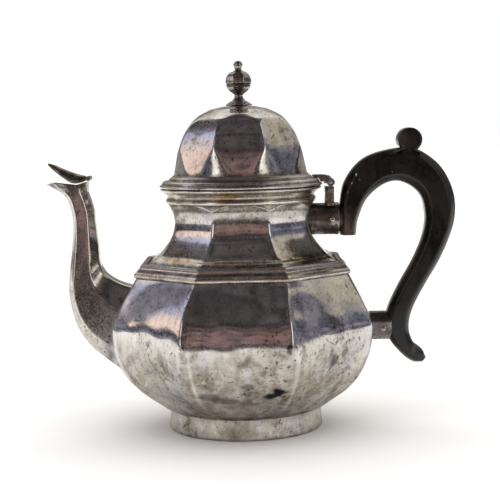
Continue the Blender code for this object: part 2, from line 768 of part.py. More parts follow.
def build():
    for obj in list(bpy.data.objects):
        bpy.data.objects.remove(obj)
    pot = make_frame("pot_axis", 0, 0)
    lid = make_frame("lid_hinge_axis", *LID_HINGE)
    flap = make_frame("flap_hinge_axis", *FLAP_HINGE)
    for add in (add_foot_ring, add_base_disc, add_bowl, add_strainer, add_girdle, add_neck,
                add_rim_moulding, add_spout, add_spout_hinge, add_handle, add_upper_socket,
                add_lower_socket, add_handle_pins, add_lid_post, add_lid_knuckles):
        add(pot)
    for add in (add_lid_flange, add_lid_bezel, add_lid_dome, add_lid_arm, add_finial_collar,
                add_finial_knop, add_finial_bead, add_finial_screw):
        add(lid)
    for add in (add_flap, add_flap_knuckle):
        add(flap)


build()
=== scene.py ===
import math

import bmesh
import bpy
import numpy as np
from mathutils import Matrix, Vector


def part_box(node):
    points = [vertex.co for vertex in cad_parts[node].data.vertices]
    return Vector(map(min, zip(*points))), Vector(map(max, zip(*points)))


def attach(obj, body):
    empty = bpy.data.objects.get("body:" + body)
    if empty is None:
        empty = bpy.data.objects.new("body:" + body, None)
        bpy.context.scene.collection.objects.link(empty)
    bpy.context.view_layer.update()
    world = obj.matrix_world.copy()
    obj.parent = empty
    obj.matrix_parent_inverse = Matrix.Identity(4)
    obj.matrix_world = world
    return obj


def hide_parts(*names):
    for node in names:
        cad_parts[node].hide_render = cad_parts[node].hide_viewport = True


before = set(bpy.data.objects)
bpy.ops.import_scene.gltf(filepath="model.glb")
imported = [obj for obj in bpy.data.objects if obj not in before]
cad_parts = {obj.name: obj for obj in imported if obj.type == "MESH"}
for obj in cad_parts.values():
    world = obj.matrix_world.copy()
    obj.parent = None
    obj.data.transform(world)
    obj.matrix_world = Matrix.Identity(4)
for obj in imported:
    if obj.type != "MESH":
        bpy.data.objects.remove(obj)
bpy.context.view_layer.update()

MM = 0.001
FOOT_LOW, FOOT_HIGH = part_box("foot_ring")
AXIS = np.array(((FOOT_LOW.x + FOOT_HIGH.x) / 2, 0.0, 0.0))
PANELS = 8
PANEL_STEPS = 32
ROUND_STEPS = 192
# Millimetres, in the pot's own frame; pins are (x, z).
SKIN = 0.8
UPPER_SOCKET_Z = 97.3
LOWER_SOCKET_Z = 46.2
LID_PIN = (42.0, 114.6)
FLAP_PIN = (-71.2, 118.7)
SOLDER_INSET = 0.25


# ---------------------------------------------------------------------------------------
# Curves and noise

def catmull(a, b, c, d, t):
    """The Catmull-Rom curve through four points, at t from b to c."""
    return 0.5 * (2 * b + (c - a) * t + (2 * a - 5 * b + 4 * c - d) * t ** 2
                  + (3 * b - a - 3 * c + d) * t ** 3)


def spline(points, count):
    """A Catmull-Rom curve through the points, resampled to an even spacing."""
    p = np.array(points, float)
    p = np.vstack((2 * p[0] - p[1], p, 2 * p[-1] - p[-2]))
    t = np.linspace(0, 1, 24, endpoint=False)[:, None]
    dense = [catmull(*four, t) for four in zip(p[:-3], p[1:-2], p[2:-1], p[3:])]
    return resample(np.vstack(dense + [p[-2:-1]]), count)[0]


def resample(points, count, endpoint=True):
    """Evenly spaced points along a polyline, and its length."""
    steps = np.linalg.norm(np.diff(points, axis=0), axis=1)
    length = np.concatenate(([0], np.cumsum(steps)))
    at = np.linspace(0, length[-1], count, endpoint=endpoint)
    return np.stack([np.interp(at, length, values) for values in points.T], 1), length[-1]


def smooth_columns(table, count):
    """A Catmull-Rom curve through every column of a table of stations."""
    p = np.vstack((2 * table[0] - table[1], table, 2 * table[-1] - table[-2]))
    rows = []
    for u in np.linspace(0, len(table) - 1, count):
        i = min(int(u), len(table) - 2)
        rows.append(catmull(*p[i:i + 4], u - i))
    return np.array(rows)


def step(x, low, high):
    """A smooth step from 0 at low to 1 at high; it falls where high is below low."""
    t = np.clip((np.asarray(x, float) - low) / (high - low), 0, 1)
    return t * t * (3 - 2 * t)


def hump(x, centre, width):
    """A smooth bump of height 1."""
    return np.exp(-((np.asarray(x, float) - centre) / width) ** 2)


def waves(points, size, seed):
    """Smooth noise about 0: a sum of plane waves of roughly the given wavelength."""
    random = np.random.RandomState(seed)
    total = np.zeros(points.shape[:-1])
    for _ in range(9):
        way = random.normal(size=3)
        way *= random.uniform(0.7, 1.4) / np.linalg.norm(way)
        total += np.sin(points @ way * 2 * math.pi / size + random.uniform(0, 2 * math.pi))
    return total / 3


def soft_min(a, b, blend):
    """The smaller of two, with a rounded change-over about blend wide."""
    t = np.clip(0.5 + 0.5 * (b - a) / blend, 0, 1)
    return b + (a - b) * t - blend * t * (1 - t)


def rounded(ring, radius, count):
    """A closed outline resampled to count points, its corners rounded to about radius."""
    even, length = resample(np.vstack((ring, ring[:1])), count, endpoint=False)
    reach = max(1, int(round(1.6 * radius / (length / count))))
    weights = np.hanning(2 * reach + 3)[1:-1]
    weights /= weights.sum()
    out = np.zeros_like(even)
    for shift, weight in zip(range(-reach, reach + 1), weights):
        out += weight * np.roll(even, shift, axis=0)
    return out


# ---------------------------------------------------------------------------------------
# Meshes: millimetres in the pot's own frame, its axis upright through the foot's centre

def grid_faces(rows, columns, loop):
    """Quads over a grid of rows that each close on themselves; loop closes the columns."""
    i = np.arange(rows if loop else rows - 1)[:, None]
    k = np.arange(columns)[None, :]
    n = (k + 1) % columns
    below = (i + 1) % rows
    quads = np.stack(np.broadcast_arrays(
        i * columns + k, i * columns + n, below * columns + n, below * columns + k), -1)
    return quads.reshape(-1, 4).tolist()


def set_marks(mesh, points, marks):
    """One float attribute per mark; each mark is a function of the points in millimetres."""
    for key, mark_of in marks.items():
        layer = mesh.attributes.new(key, "FLOAT", "POINT")
        layer.data.foreach_set("value", np.asarray(mark_of(points), np.float32).ravel())


def shade(mesh, angle):
    """Smooth shading, but for the edges that turn by more than the angle."""
    mesh.shade_smooth()
    mesh.set_sharp_from_angle(angle=math.radians(angle))


def make_mesh(name, points, faces, marks=None, angle=35):
    """A mesh object from millimetre points, with its marks."""
    points = np.asarray(points, float)
    mesh = bpy.data.meshes.new(name)
    mesh.from_pydata((points.reshape(-1, 3) * MM + AXIS).tolist(), [], faces)
    set_marks(mesh, points, marks or {})
    bm = bmesh.new()
    bm.from_mesh(mesh)
    bmesh.ops.recalc_face_normals(bm, faces=bm.faces)
    bm.to_mesh(mesh)
    bm.free()
    shade(mesh, angle)
    obj = bpy.data.objects.new(name, mesh)
    bpy.context.scene.collection.objects.link(obj)
    return obj


def band(name, rings, marks=None, angle=35):
    """A mesh through rings that close on themselves, the last joined to the first."""
    return make_mesh(name, rings, grid_faces(len(rings), rings.shape[1], True), marks, angle)


def capped(rings):
    """Points and faces of a loft closed at each end by a fan about its middle."""
    rings = np.asarray(rings, float)
    rows, columns = rings.shape[:2]
    faces = grid_faces(rows, columns, False)
    points = rings.reshape(-1, 3)
    for row in (0, rows - 1):
        centre = len(points)
        points = np.vstack((points, rings[row].mean(0)[None]))
        start = row * columns
        faces += [(start + k, start + (k + 1) % columns, centre) for k in range(columns)]
    return points, faces


def solid(name, rings, marks=None, angle=35):
    """A mesh through rings that close on themselves, with both ends filled."""
    return make_mesh(name, *capped(rings), marks, angle)


def carve(obj, angle, operation, *others):
    """Cuts or joins obj with other objects in turn, which are then removed."""
    for other in others:
        modifier = obj.modifiers.new("join", "BOOLEAN")
        modifier.operation = operation
        modifier.solver = "MANIFOLD"
        modifier.object = other
        bpy.context.view_layer.update()
        result = bpy.data.meshes.new_from_object(
            obj.evaluated_get(bpy.context.evaluated_depsgraph_get()))
        obj.modifiers.clear()
        obj.data = result
        bpy.data.objects.remove(other)
    shade(obj.data, angle)


def add_marks(obj, marks):
    """Marks for a finished shape, from where its vertices ended up."""
    at = (np.array([v.co for v in obj.data.vertices]) - AXIS) / MM
    set_marks(obj.data, at, marks)


def finish(obj, body, slot, material, *nodes):
    """Gives a piece its material and body, and hides the CAD nodes it stands for; slot is not used.
    """
    obj.data.materials.clear()
    obj.data.materials.append(material)
    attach(obj, body)
    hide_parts(*nodes)


# ---------------------------------------------------------------------------------------
# Turned and panelled shapes

def panel_angles():
    """Angles round the axis, closer together near the panels' edges."""
    u = np.linspace(-1, 1, PANEL_STEPS, endpoint=False)
    across = np.sign(u) * (1 - (1 - np.abs(u)) ** 1.7) * math.pi / PANELS
    return np.concatenate([across + k * 2 * math.pi / PANELS for k in range(PANELS)])


def panelled(angles, sharpness):
    """Radius of an eight-sided section of half-width 1, with slightly rounded corners."""
    total = 0
    for k in range(PANELS):
        total = total + np.maximum(np.cos(angles - k * 2 * math.pi / PANELS), 0) ** sharpness
    return 1.0 / total ** (1 / sharpness)


def column(table, k):
    """One column of a table, as a column."""
    return np.asarray(table, float)[:, k][:, None]


def mirrored(near):
    """A closed section from the half of it on one side of Y."""
    return np.array(near + [(x, -y, z) for x, y, z in near[::-1]])


def circle(steps):
    return np.linspace(0, 2 * math.pi, steps, endpoint=False)


def turned(r, angles, z):
    """Rings of points about the axis, from radii and heights given for each ring."""
    r = np.broadcast_to(r, (len(r), len(angles)))
    return np.stack((r * np.cos(angles), r * np.sin(angles), np.broadcast_to(z, r.shape)), -1)


def ring_piece(name, outline, corner, count, marks, wobble, seed):
    """A closed moulding carried round the axis, its outline's corners softened."""
    section = rounded(np.array(outline, float), corner, count)
    angles = circle(ROUND_STEPS)
    rings = turned(column(section, 0), angles, column(section, 1))
    push = wobble * waves(rings, 30.0, seed)
    rings[..., 0] += push * np.cos(angles)
    rings[..., 1] += push * np.sin(angles)
    return band(name, rings, marks)


def panel_shell(name, outer, inner, marks):
    """A wall from its outer and inner grids, joined along both edges."""
    return band(name, np.concatenate((outer, inner[::-1])), marks)


def inset_curve(curve, distance):
    """A (half-width, z) curve that runs upwards, moved towards the axis."""
    way = np.gradient(curve, axis=0)
    way /= np.linalg.norm(way, axis=1)[:, None]
    return curve - distance * np.stack((way[:, 1], -way[:, 0]), 1)


def push_out(rings, amount):
    """Moves each point away from the upright axis."""
    radial = rings * (1, 1, 0)
    radial = radial / np.maximum(np.linalg.norm(radial, axis=-1, keepdims=True), 1e-6)
    return rings + radial * amount[..., None]


# ---------------------------------------------------------------------------------------
# Procedural materials

class Graph:
    """The shader nodes of one material or world; a value is a number, a tuple or a socket."""

    def __init__(self, tree):
        self.tree = tree

    def link(self, value, socket):
        if isinstance(value, bpy.types.NodeSocket):
            self.tree.links.new(value, socket)
        else:
            socket.default_value = value

    def node(self, kind, values=None, **settings):
        made = self.tree.nodes.new(kind)
        for key, value in settings.items():
            setattr(made, key, value)
        for key, value in (values or {}).items():
            self.link(value, made.inputs[key])
        return made

    def mapped(self, where, **values):
        return self.node("ShaderNodeMapping", {"Vector": where, **values}).outputs[0]

    def noise(self, where, scale, detail=4.0, roughness=0.6):
        values = {"Vector": where, "Scale": scale, "Detail": detail, "Roughness": roughness}
        return self.node("ShaderNodeTexNoise", values).outputs["Fac"]

    def remap(self, value, low, high, to_low=0.0, to_high=1.0):
        values = {"Value": value, 1: low, 2: high, 3: to_low, 4: to_high}
        return self.node("ShaderNodeMapRange", values, interpolation_type="SMOOTHSTEP").outputs[0]

    def maths(self, operation, a, b=0.0):
        return self.node("ShaderNodeMath", {0: a, 1: b}, operation=operation).outputs[0]

    def plus(self, a, b):
        return self.maths("ADD", a, b)

    def minus(self, a, b):
        return self.maths("SUBTRACT", a, b)

    def times(self, a, *factors):
        for factor in factors:
            a = self.maths("MULTIPLY", a, factor)
        return a

    def larger(self, a, b):
        return self.maths("MAXIMUM", a, b)

    def absolute(self, a):
        return self.maths("ABSOLUTE", a)

    def blend(self, amount, a, b):
        """Colour a, or b where amount is 1."""
        made = self.node("ShaderNodeMix", {0: amount}, data_type="RGBA", blend_type="MIX")
        for index, value in ((6, a), (7, b)):
            self.link((*value, 1.0) if isinstance(value, tuple) else value, made.inputs[index])
        return made.outputs[2]

    def mark(self, name):
        return self.node("ShaderNodeAttribute", attribute_name=name).outputs["Fac"]

    def hairlines(self, field, thin):
        """Thin lines where a noise field crosses its middle level."""
        return self.remap(self.absolute(self.minus(field, 0.5)), thin, 0.0)

    def scratches(self, where, turn, stretch, thin, shift):
        """Fine straight scratches: the level line of noise stretched one way."""
        moved = self.mapped(where, Location=(shift, 0.0, 0.0), Rotation=turn,
                            Scale=(stretch, 1.0, stretch))
        return self.hairlines(self.noise(moved, 26.0, 3.0, 0.7), thin)

    def squiggles(self, where, scale, thin, shift):
        """Fine wandering hairlines."""
        moved = self.mapped(where, Location=(shift, shift, 0.0))
        return self.hairlines(self.noise(moved, scale, 5.0, 0.62), thin)

    def bump(self, shader, height, distance):
        values = {"Strength": 0.5, "Distance": distance, "Height": height}
        self.link(self.node("ShaderNodeBump", values).outputs[0], shader.inputs["Normal"])


def new_material(name):
    material = bpy.data.materials.new(name)
    material.use_nodes = True
    tree = material.node_tree
    return material, Graph(tree), tree.nodes["Principled BSDF"]


def silver(name, clean=(0.82, 0.79, 0.74), tarnish=(0.30, 0.262, 0.208),
           dark=(0.025, 0.021, 0.018), amount=0.45, roughness=0.10, pits=0.8, seed=0.0):
    """Old polished silver: mottled tarnish, grime in the hollows, pits, stains and scratches,
    with painted highlights along ridges and crests and painted shade on the lower bowl.

    A piece's marks (grime and shade, warm, heavy tarnish and shade, edge highlight, stain)
    say where; one it lacks counts as 0.
    """
    material, g, shader = new_material(name)
    raw = g.node("ShaderNodeTexCoord").outputs["Object"]
    where = g.mapped(raw, Location=(seed, seed, 0))
    broad = g.noise(where, 42.0, 6.0, 0.62)
    middle = g.noise(where, 190.0, 7.0, 0.70)
    fine = g.noise(where, 900.0, 5.0, 0.7)
    grime = g.mark("grime")
    tarnish_shade = g.mark("tarnish_shade")

    clouds = g.remap(g.plus(broad, g.times(middle, 0.6)), 0.66, 0.98)
    # Heavy tarnish from the piece's mark; on the lower bowl it is mostly painted shade, the darker
    # floor reflected near the pot.
    thick_tarnish_and_shade = g.times(tarnish_shade, g.remap(middle, 0.36, 0.60, 0.42, 1.0))
    colour = g.blend(g.larger(g.times(clouds, amount), thick_tarnish_and_shade), clean, tarnish)
    bluish = g.remap(g.noise(where, 70.0, 3.0, 0.5), 0.48, 0.66)
    colour = g.blend(g.times(bluish, 0.3), colour, (0.54, 0.53, 0.66))
    upright = g.mapped(where, Scale=(1.0, 1.0, 0.10))
    rubbed = g.remap(g.noise(upright, 230.0, 6.0, 0.7), 0.40, 0.66)
    colour = g.blend(g.times(rubbed, 0.30), colour, tarnish)
    gold = g.times(g.mark("warm"), g.remap(middle, 0.40, 0.60, 0.30, 1.0))
    colour = g.blend(gold, colour, (0.42, 0.28, 0.13))
    patchy = g.remap(g.plus(middle, fine), 0.78, 1.10, 0.45, 1.0)
    # Dark in hollows and joints; on the lower bowl the same mark also paints shade towards the
    # bottom.
    colour = g.blend(g.times(grime, patchy), colour, dark)
    blots = g.remap(g.plus(middle, g.times(broad, 0.8)), 1.00, 1.12)
    colour = g.blend(g.times(blots, 0.55), colour, (0.12, 0.10, 0.085))
    spots = g.remap(g.noise(where, 760.0, 2.0, 0.5), 0.625, 0.68)
    specks = g.times(spots, g.times(g.remap(broad, 0.38, 0.56), pits))
    colour = g.blend(specks, colour, (0.035, 0.03, 0.026))
    wander = g.larger(g.squiggles(where, 115.0, 0.006, 0.0), g.squiggles(where, 210.0, 0.007, 4.3))
    wander = g.times(wander, g.remap(broad, 0.46, 0.56), 0.55)
    colour = g.blend(wander, colour, (0.10, 0.085, 0.075))
    # Painted highlight: near-white colour along ridges and moulding crests, standing in for bright
    # edge glints, partly polished wear.
    colour = g.blend(g.times(g.mark("edge"), 0.75), colour, (0.94, 0.92, 0.88))
    colour = g.blend(g.mark("stain"), colour, (0.012, 0.012, 0.015))
    g.link(colour, shader.inputs["Base Color"])

    lines = g.larger(g.scratches(where, (0.3, 0.2, 0.5), 14.0, 0.016, 3.1),
                     g.scratches(where, (1.1, -0.4, 1.9), 18.0, 0.014, 7.7))
    lines = g.larger(lines, g.scratches(where, (-0.7, 0.9, -0.6), 22.0, 0.014, 1.7))
    rough = g.remap(middle, 0.3, 0.75, roughness * 0.6, roughness * 1.5)
    for cause, added in ((grime, 0.22), (tarnish_shade, 0.20), (lines, 0.20)):
        rough = g.plus(rough, g.times(cause, added))
    g.link(rough, shader.inputs["Roughness"])
    shader.inputs["Metallic"].default_value = 1.0

    height = g.plus(g.times(fine, 0.015), g.times(broad, 0.25))
    height = g.minus(height, g.times(lines, 0.05))
    g.bump(shader, g.minus(height, g.times(specks, 0.5)), 0.00006)
    return material


def ebonised_wood():
    """Stained dark hardwood with a worn satin polish, grain along the handle and small chips; the
    wear mark also paints a highlight down the curl's left side.
    """
    material, g, shader = new_material("ebonised_wood")
    where = g.node("ShaderNodeTexCoord").outputs["Object"]
    grain = g.noise(g.mapped(where, Scale=(1.0, 3.5, 0.35)), 420.0, 6.0, 0.72)
    blotch = g.noise(where, 75.0, 4.0, 0.6)
    figure = g.plus(grain, blotch)
    wear_and_highlight = g.mark("wear_and_highlight")
    colour = g.blend(g.remap(grain, 0.35, 0.7), (0.0012, 0.0011, 0.0010), (0.0042, 0.0034, 0.0030))
    colour = g.blend(g.times(g.remap(blotch, 0.4, 0.7), 0.35), colour, (0.008, 0.0055, 0.0042))
    # Rubbed wear lightens the wood; on the curl's left side it is a painted highlight.
    rubbed = g.times(wear_and_highlight, g.remap(figure, 0.92, 1.16, 0.05, 1.0))
    colour = g.blend(rubbed, colour, (0.11, 0.075, 0.048))
    chips = g.times(g.remap(g.noise(where, 520.0, 1.0, 0.4), 0.765, 0.80),
                    g.remap(g.noise(where, 60.0, 2.0, 0.5), 0.52, 0.62))
    colour = g.blend(chips, colour, (0.55, 0.50, 0.44))
    g.link(colour, shader.inputs["Base Color"])
    rough = g.plus(g.remap(figure, 0.7, 1.3, 0.20, 0.38), g.times(wear_and_highlight, 0.12))
    g.link(rough, shader.inputs["Roughness"])
    shader.inputs["Specular IOR Level"].default_value = 0.35
    shader.inputs["Coat Weight"].default_value = 0.18
    shader.inputs["Coat Roughness"].default_value = 0.12
    g.bump(shader, g.minus(grain, g.times(chips, 1.5)), 0.00008)
    return material


BODY = silver("polished_silver", roughness=0.075)
MOULDING = silver("moulding_silver", (0.70, 0.66, 0.59), (0.27, 0.225, 0.165),
                  amount=0.62, roughness=0.22, seed=0.3)
FITTING = silver("fitting_silver", (0.33, 0.30, 0.27), (0.14, 0.118, 0.10), (0.020, 0.017, 0.014),
                 amount=0.85, roughness=0.20, seed=0.7)
HINGE = silver("hinge_silver", (0.72, 0.69, 0.64), (0.22, 0.19, 0.16),
               amount=0.6, roughness=0.14, pits=1.0, seed=1.4)
KNOP = silver("knop_silver", (0.68, 0.65, 0.60), (0.24, 0.21, 0.18), (0.03, 0.025, 0.022),
              amount=0.7, seed=1.1)
INSIDE = silver("inside_silver", (0.40, 0.35, 0.29), (0.22, 0.16, 0.11),
                amount=0.8, roughness=0.34, seed=1.7)
WOOD = ebonised_wood()


# ---------------------------------------------------------------------------------------
# Marks: functions of points that say where a material is grimy, worn or stained, and where
# highlights and shade are painted

def bands(rings, *rows):
    """Level bands round a piece, from (strength, height, width) rows."""
    return sum(strength * hump(rings[..., 2], height, width) for strength, height, width in rows)


def broken(rings, size, seed):
    """A patchy 0 to 1 factor, to break an even band of grime."""
    return np.clip(0.6 + 0.4 * waves(rings, size, seed), 0, 1)


def hollows(least, seed, *rows):
    """A mark for the grime in a moulding's hollows: bands, broken here and there."""
    return lambda rings: np.clip(
        bands(rings, *rows) * (least + 0.6 * broken(rings, 10.0, seed)), 0, 1)


def crests(levels, width, seed):
    """A painted highlight along a moulding's crests, at the given heights, partly polished wear."""
    rows = [(1, level, width) for level in levels]
    return lambda rings: np.clip(
        bands(rings, *rows) * (0.6 + 0.35 * waves(rings, 18.0, seed)), 0, 1)


def panel_place(rings, twist):
    """Distance in millimetres from the nearest ridge between two panels."""
    angle = np.arctan2(rings[..., 1], rings[..., 0]) - math.radians(twist)
    share = np.abs((angle / (math.pi / PANELS) + 1) % 2 - 1)
    return (1 - share) * math.pi / PANELS * np.hypot(rings[..., 0], rings[..., 1])


def ridge_highlights(twist, width, strength, sway, size, seed, foot, top):
    """A painted highlight along the ridges between panels, partly polished wear, fading in at foot
    and out at top, each (z, z).
    """
    def mark_of(rings):
        z = rings[..., 2]
        ridge = hump(panel_place(rings, twist), 0, width)
        ridge = ridge * (strength + sway * waves(rings, size, seed))
        return np.clip(ridge * step(z, *foot) * step(z, *top), 0, 1)
    return mark_of


# ---------------------------------------------------------------------------------------
# Foot, bowl, girdle, neck and rim

def foot_grime(rings):
    return bands(rings, (0.85, 9.9, 0.7), (0.35, 0.2, 0.5)) * broken(rings, 9.0, 5)


def foot_matte(rings):
    return 0.32 + 0.36 * step(waves(rings, 14.0, 6), -0.5, 1.0)


foot = ring_piece(
    "foot", [(35.85, 9.75), (35.75, 7.5), (35.95, 4.0), (36.25, 1.3), (36.25, 0.4), (35.8, 0.02),
             (33.8, 0.02), (33.7, 0.6), (33.9, 3.0), (34.1, 7.6), (33.3, 8.7), (33.2, 9.75)],
    0.35, 96, {"grime": foot_grime, "tarnish_shade": foot_matte}, 0.05, 2)
finish(foot, "pot", "silver_mouldings", MOULDING, "foot_ring")

BOWL_CURVE = [
    (36.6, 9.9), (38.2, 10.5), (40.2, 12.1), (45.0, 17.0), (49.0, 20.8), (52.6, 25.0), (56.0, 30.8),
    (58.4, 37.0), (59.6, 43.5), (59.6, 49.5), (58.2, 55.0), (55.6, 61.0), (52.2, 67.5),
    (49.0, 72.8), (47.4, 75.0), (46.2, 76.2),
]
BOWL_HALF_DEPTH = 59.7
BOWL_TWIST = math.radians(-1.4)
BOWL_LEAN = -1.7
BASE_HOLE = 33.0
DENT_REACH = 58
# Small hollows in the bowl: height, angle round the axis in degrees, width and depth.
DENTS = [
    (46.4, -71.2, 3.4, 0.75), (25.3, -75.8, 2.6, 0.5), (39.5, -89.4, 3.0, 0.14),
    (54.5, -76.0, 4.6, 0.35), (58.0, -62.0, 6.0, 0.3), (36.9, -46.2, 3.4, 0.3),
    (28.1, -88.3, 3.0, 0.2), (48.4, -109.0, 4.2, 0.45), (52.0, -122.0, 7.0, 0.35),
    (62.0, -100.0, 7.0, 0.2), (44.0, 60.0, 6.0, 0.3), (30.0, 130.0, 5.0, 0.3),
    (60.0, 100.0, 7.0, 0.3),
]
# Stains on the lower bowl: height, angle, half-width, half-height and strength.
STAINS = [
    (25.4, -74.2, 3.2, 2.1, 1.0), (23.6, -77.2, 2.6, 1.6, 1.0), (39.3, -89.4, 2.0, 2.6, 0.50),
    (28.1, -88.3, 2.4, 2.0, 0.66), (23.4, -106.5, 4.6, 2.0, 0.62), (21.4, -101.0, 6.0, 1.8, 0.50),
    (29.0, -105.0, 3.0, 2.6, 0.24), (36.9, -46.2, 2.1, 2.8, 0.78), (45.4, -71.6, 1.2, 2.2, 0.8),
    (33.0, -137.0, 5.0, 6.0, 0.22), (20.0, -66.0, 5.0, 2.0, 0.25), (30.0, 62.0, 4.0, 3.0, 0.4),
    (24.0, 120.0, 5.0, 2.5, 0.4), (38.0, 160.0, 3.0, 3.0, 0.3), (26.0, 5.0, 4.0, 2.5, 0.35),
]


def bowl_rings(curve):
    """The bowl's surface at a (half-width, z) curve: dented, leaning and slightly twisted."""
    angles = panel_angles()
    z = column(curve, 1)
    flat = panelled(angles, 120 + 90 * step(z, 45, 66))
    r = column(curve, 0) * (flat + (1 - flat) * step(z, 19.0, 9.5))
    turn = angles + BOWL_TWIST * step(z, 12, 30) * step(z, 76, 60)
    lean = BOWL_LEAN * step(z, 14, 27) * step(z, 74, 58)
    x = r * np.cos(turn) + lean * np.sin(turn) ** 2
    rings = np.stack((x, r * np.sin(turn), np.broadcast_to(z, x.shape)), -1)
    panel = math.pi / PANELS
    across = (angles + panel) % (2 * panel) - panel
    crown = -0.30 * (across / panel) ** 2
    rumple = (0.08 + 0.12 * hump(z, 46.0, 9.0)) * waves(rings, 15.0, 12)
    push = step(z, 10, 18) * step(z, 76, 70) * (crown + 0.26 * waves(rings, 40.0, 11) + rumple)
    for height, degrees, width, depth in DENTS:
        turn = math.radians(degrees)
        middle = (DENT_REACH * math.cos(turn), DENT_REACH * math.sin(turn), height)
        away = np.linalg.norm(rings - middle, axis=-1)
        push = push - depth * hump(away, 0, width)
    rings = push_out(rings, push)
    rings[..., 1] *= min(1.0, BOWL_HALF_DEPTH / np.abs(rings[..., 1]).max())
    return rings


def bowl_dirt_and_shade(rings):
    z = rings[..., 2]
    ends = bands(rings, (0.75, 10.2, 1.3), (0.8, 75.6, 1.0))
    spout_seam = np.hypot(rings[..., 1], (z - 47.0) * 0.62)
    seam = 0.8 * hump(spout_seam, 13.2, 1.3) * (rings[..., 0] < 0)
    # Painted shade: the lower bowl darker towards the bottom, for the dimmer floor reflected near
    # the pot.
    lower = 0.30 * step(z, 34, 14) * step(waves(rings, 9.0, 21), -0.4, 1.0)
    return np.clip(ends * broken(rings, 8.0, 22) + seam + lower, 0, 1)


def bowl_stain(rings):
    z = rings[..., 2]
    angle = np.degrees(np.arctan2(rings[..., 1], rings[..., 0]))
    reach = np.hypot(rings[..., 0], rings[..., 1])
    ragged = 0.13 * waves(rings, 3.4, 27)
    stains = np.zeros(z.shape)
    for height, turn, wide, tall, amount in STAINS:
        beside = reach * np.radians((angle - turn + 180) % 360 - 180)
        spread = np.sqrt((beside / wide) ** 2 + ((z - height) / tall) ** 2) + ragged
        stains = np.maximum(stains, amount * step(spread, 1.3, 0.75))
    return stains


def bowl_tarnish_with_shade(rings):
    z = rings[..., 2]
    # Painted shade as heavy tarnish: the lower bowl darker and streaked upright, like the dim floor
    # reflected near the pot.
    patches = 0.72 + 0.26 * waves(rings, 22.0, 25) + 0.16 * waves(rings * (1, 1, 0.12), 5.0, 26)
    # Painted shade: a dark band beside each ridge's painted highlight.
    ridge_side_shade = 0.35 * hump(panel_place(rings, 0.2), 2.4, 1.3)
    return np.clip(step(z, 51, 41) * (patches + ridge_side_shade)
                   + 0.12 * step(waves(rings, 25.0, 23), 0.2, 1.2), 0, 1)


def bowl_warm(rings):
    z = rings[..., 2]
    return 0.35 * hump(z, 74.5, 2.0) * broken(rings, 20.0, 24) + 0.16 * step(z, 42, 25)


bowl_edge = ridge_highlights(0.2, 0.62, 0.62, 0.25, 12.0, 28, (13, 20), (76, 70))
bowl_curve = spline(BOWL_CURVE, 120)
hole = turned(np.full((2, 1), BASE_HOLE), panel_angles(), np.array([[9.9], [10.9]]))
bowl = panel_shell(
    "bowl_shell", np.concatenate((hole[:1], bowl_rings(bowl_curve))),
    np.concatenate((hole[1:], bowl_rings(inset_curve(bowl_curve, SKIN)[4::3]))),
    {"grime": bowl_dirt_and_shade, "tarnish_shade": bowl_tarnish_with_shade, "warm": bowl_warm, "edge": bowl_edge,
     "stain": bowl_stain})
finish(bowl, "pot", "silver_body", BODY, "bowl")


def girdle_grime(rings):
    lines = bands(rings, (1.0, 76.7, 0.55), (0.9, 73.4, 0.5), (0.9, 79.6, 0.5), (0.5, 78.4, 0.3))
    return np.clip(lines, 0, 1) * (0.35 + 0.65 * broken(rings, 12.0, 31))


def girdle_warm(rings):
    return 0.35 * broken(rings, 20.0, 33)


girdle_section = rounded(np.array([
    (48.7, 73.2), (49.3, 73.5), (49.6, 74.3), (49.4, 75.1), (48.7, 75.6), (48.2, 75.9),
    (47.6, 76.7), (46.9, 77.3), (46.7, 77.9), (46.6, 78.7), (46.1, 79.3), (45.3, 79.6),
    (44.2, 79.2), (44.3, 78.0), (45.8, 76.4), (47.6, 74.4)]), 0.12, 96)
girdle_rings = turned(column(girdle_section, 0) * panelled(panel_angles(), 260.0),
                      panel_angles(), column(girdle_section, 1))
girdle = band("girdle_reeds", push_out(girdle_rings, 0.10 * waves(girdle_rings, 28.0, 32)),
              {"grime": girdle_grime, "warm": girdle_warm,
               "edge": crests((74.5, 77.5, 79.1), 0.28, 34)})
finish(girdle, "pot", "silver_mouldings", MOULDING, "girdle_moulding")

NECK_CURVE = [
    (45.4, 76.6), (43.4, 78.8), (41.4, 80.7), (39.4, 82.0), (37.4, 84.0), (35.0, 87.0),
    (32.8, 90.2), (31.4, 93.6), (30.85, 97.3), (31.0, 100.4), (31.6, 102.7), (32.8, 104.6),
    (34.1, 106.0),
]
# The round shape that cuts the panels off as the neck rises to its mouth: (z, radius).
NECK_ARCH = [(76.0, 60.0), (90.0, 48.0), (96.0, 38.5), (100.5, 35.3), (103.0, 34.5), (106.0, 34.35)]


def arched(curve, inset, sharpness, arch, blend):
    """Panelled rings of a (half-width, z) curve, kept within a round (z, radius) outline."""
    angles = panel_angles()
    z = column(curve, 1)
    cap = np.interp(z, *zip(*arch)) - inset
    r = soft_min(column(curve, 0) * panelled(angles, sharpness), cap, blend)
    return turned(np.maximum(r, 1.2), angles, z)


def neck_rings(curve, inset):
    rings = arched(curve, inset, 75.0, NECK_ARCH, 0.35)
    z = rings[..., 2]
    free = step(z, 78, 84) * step(z, 106, 102)
    return push_out(rings, free * (0.10 * waves(rings, 30.0, 41) + 0.035 * waves(rings, 12.0, 42)))


def neck_grime(rings):
    ends = bands(rings, (0.8, 79.8, 1.1), (0.75, 106.0, 0.8), (0.25, 103.5, 2.0))
    socket = np.hypot(rings[..., 1], rings[..., 2] - UPPER_SOCKET_Z)
    seam = 0.8 * hump(socket, 7.9, 0.9) * (rings[..., 0] > 0)
    return np.clip(ends * broken(rings, 7.0, 43) + seam, 0, 1)


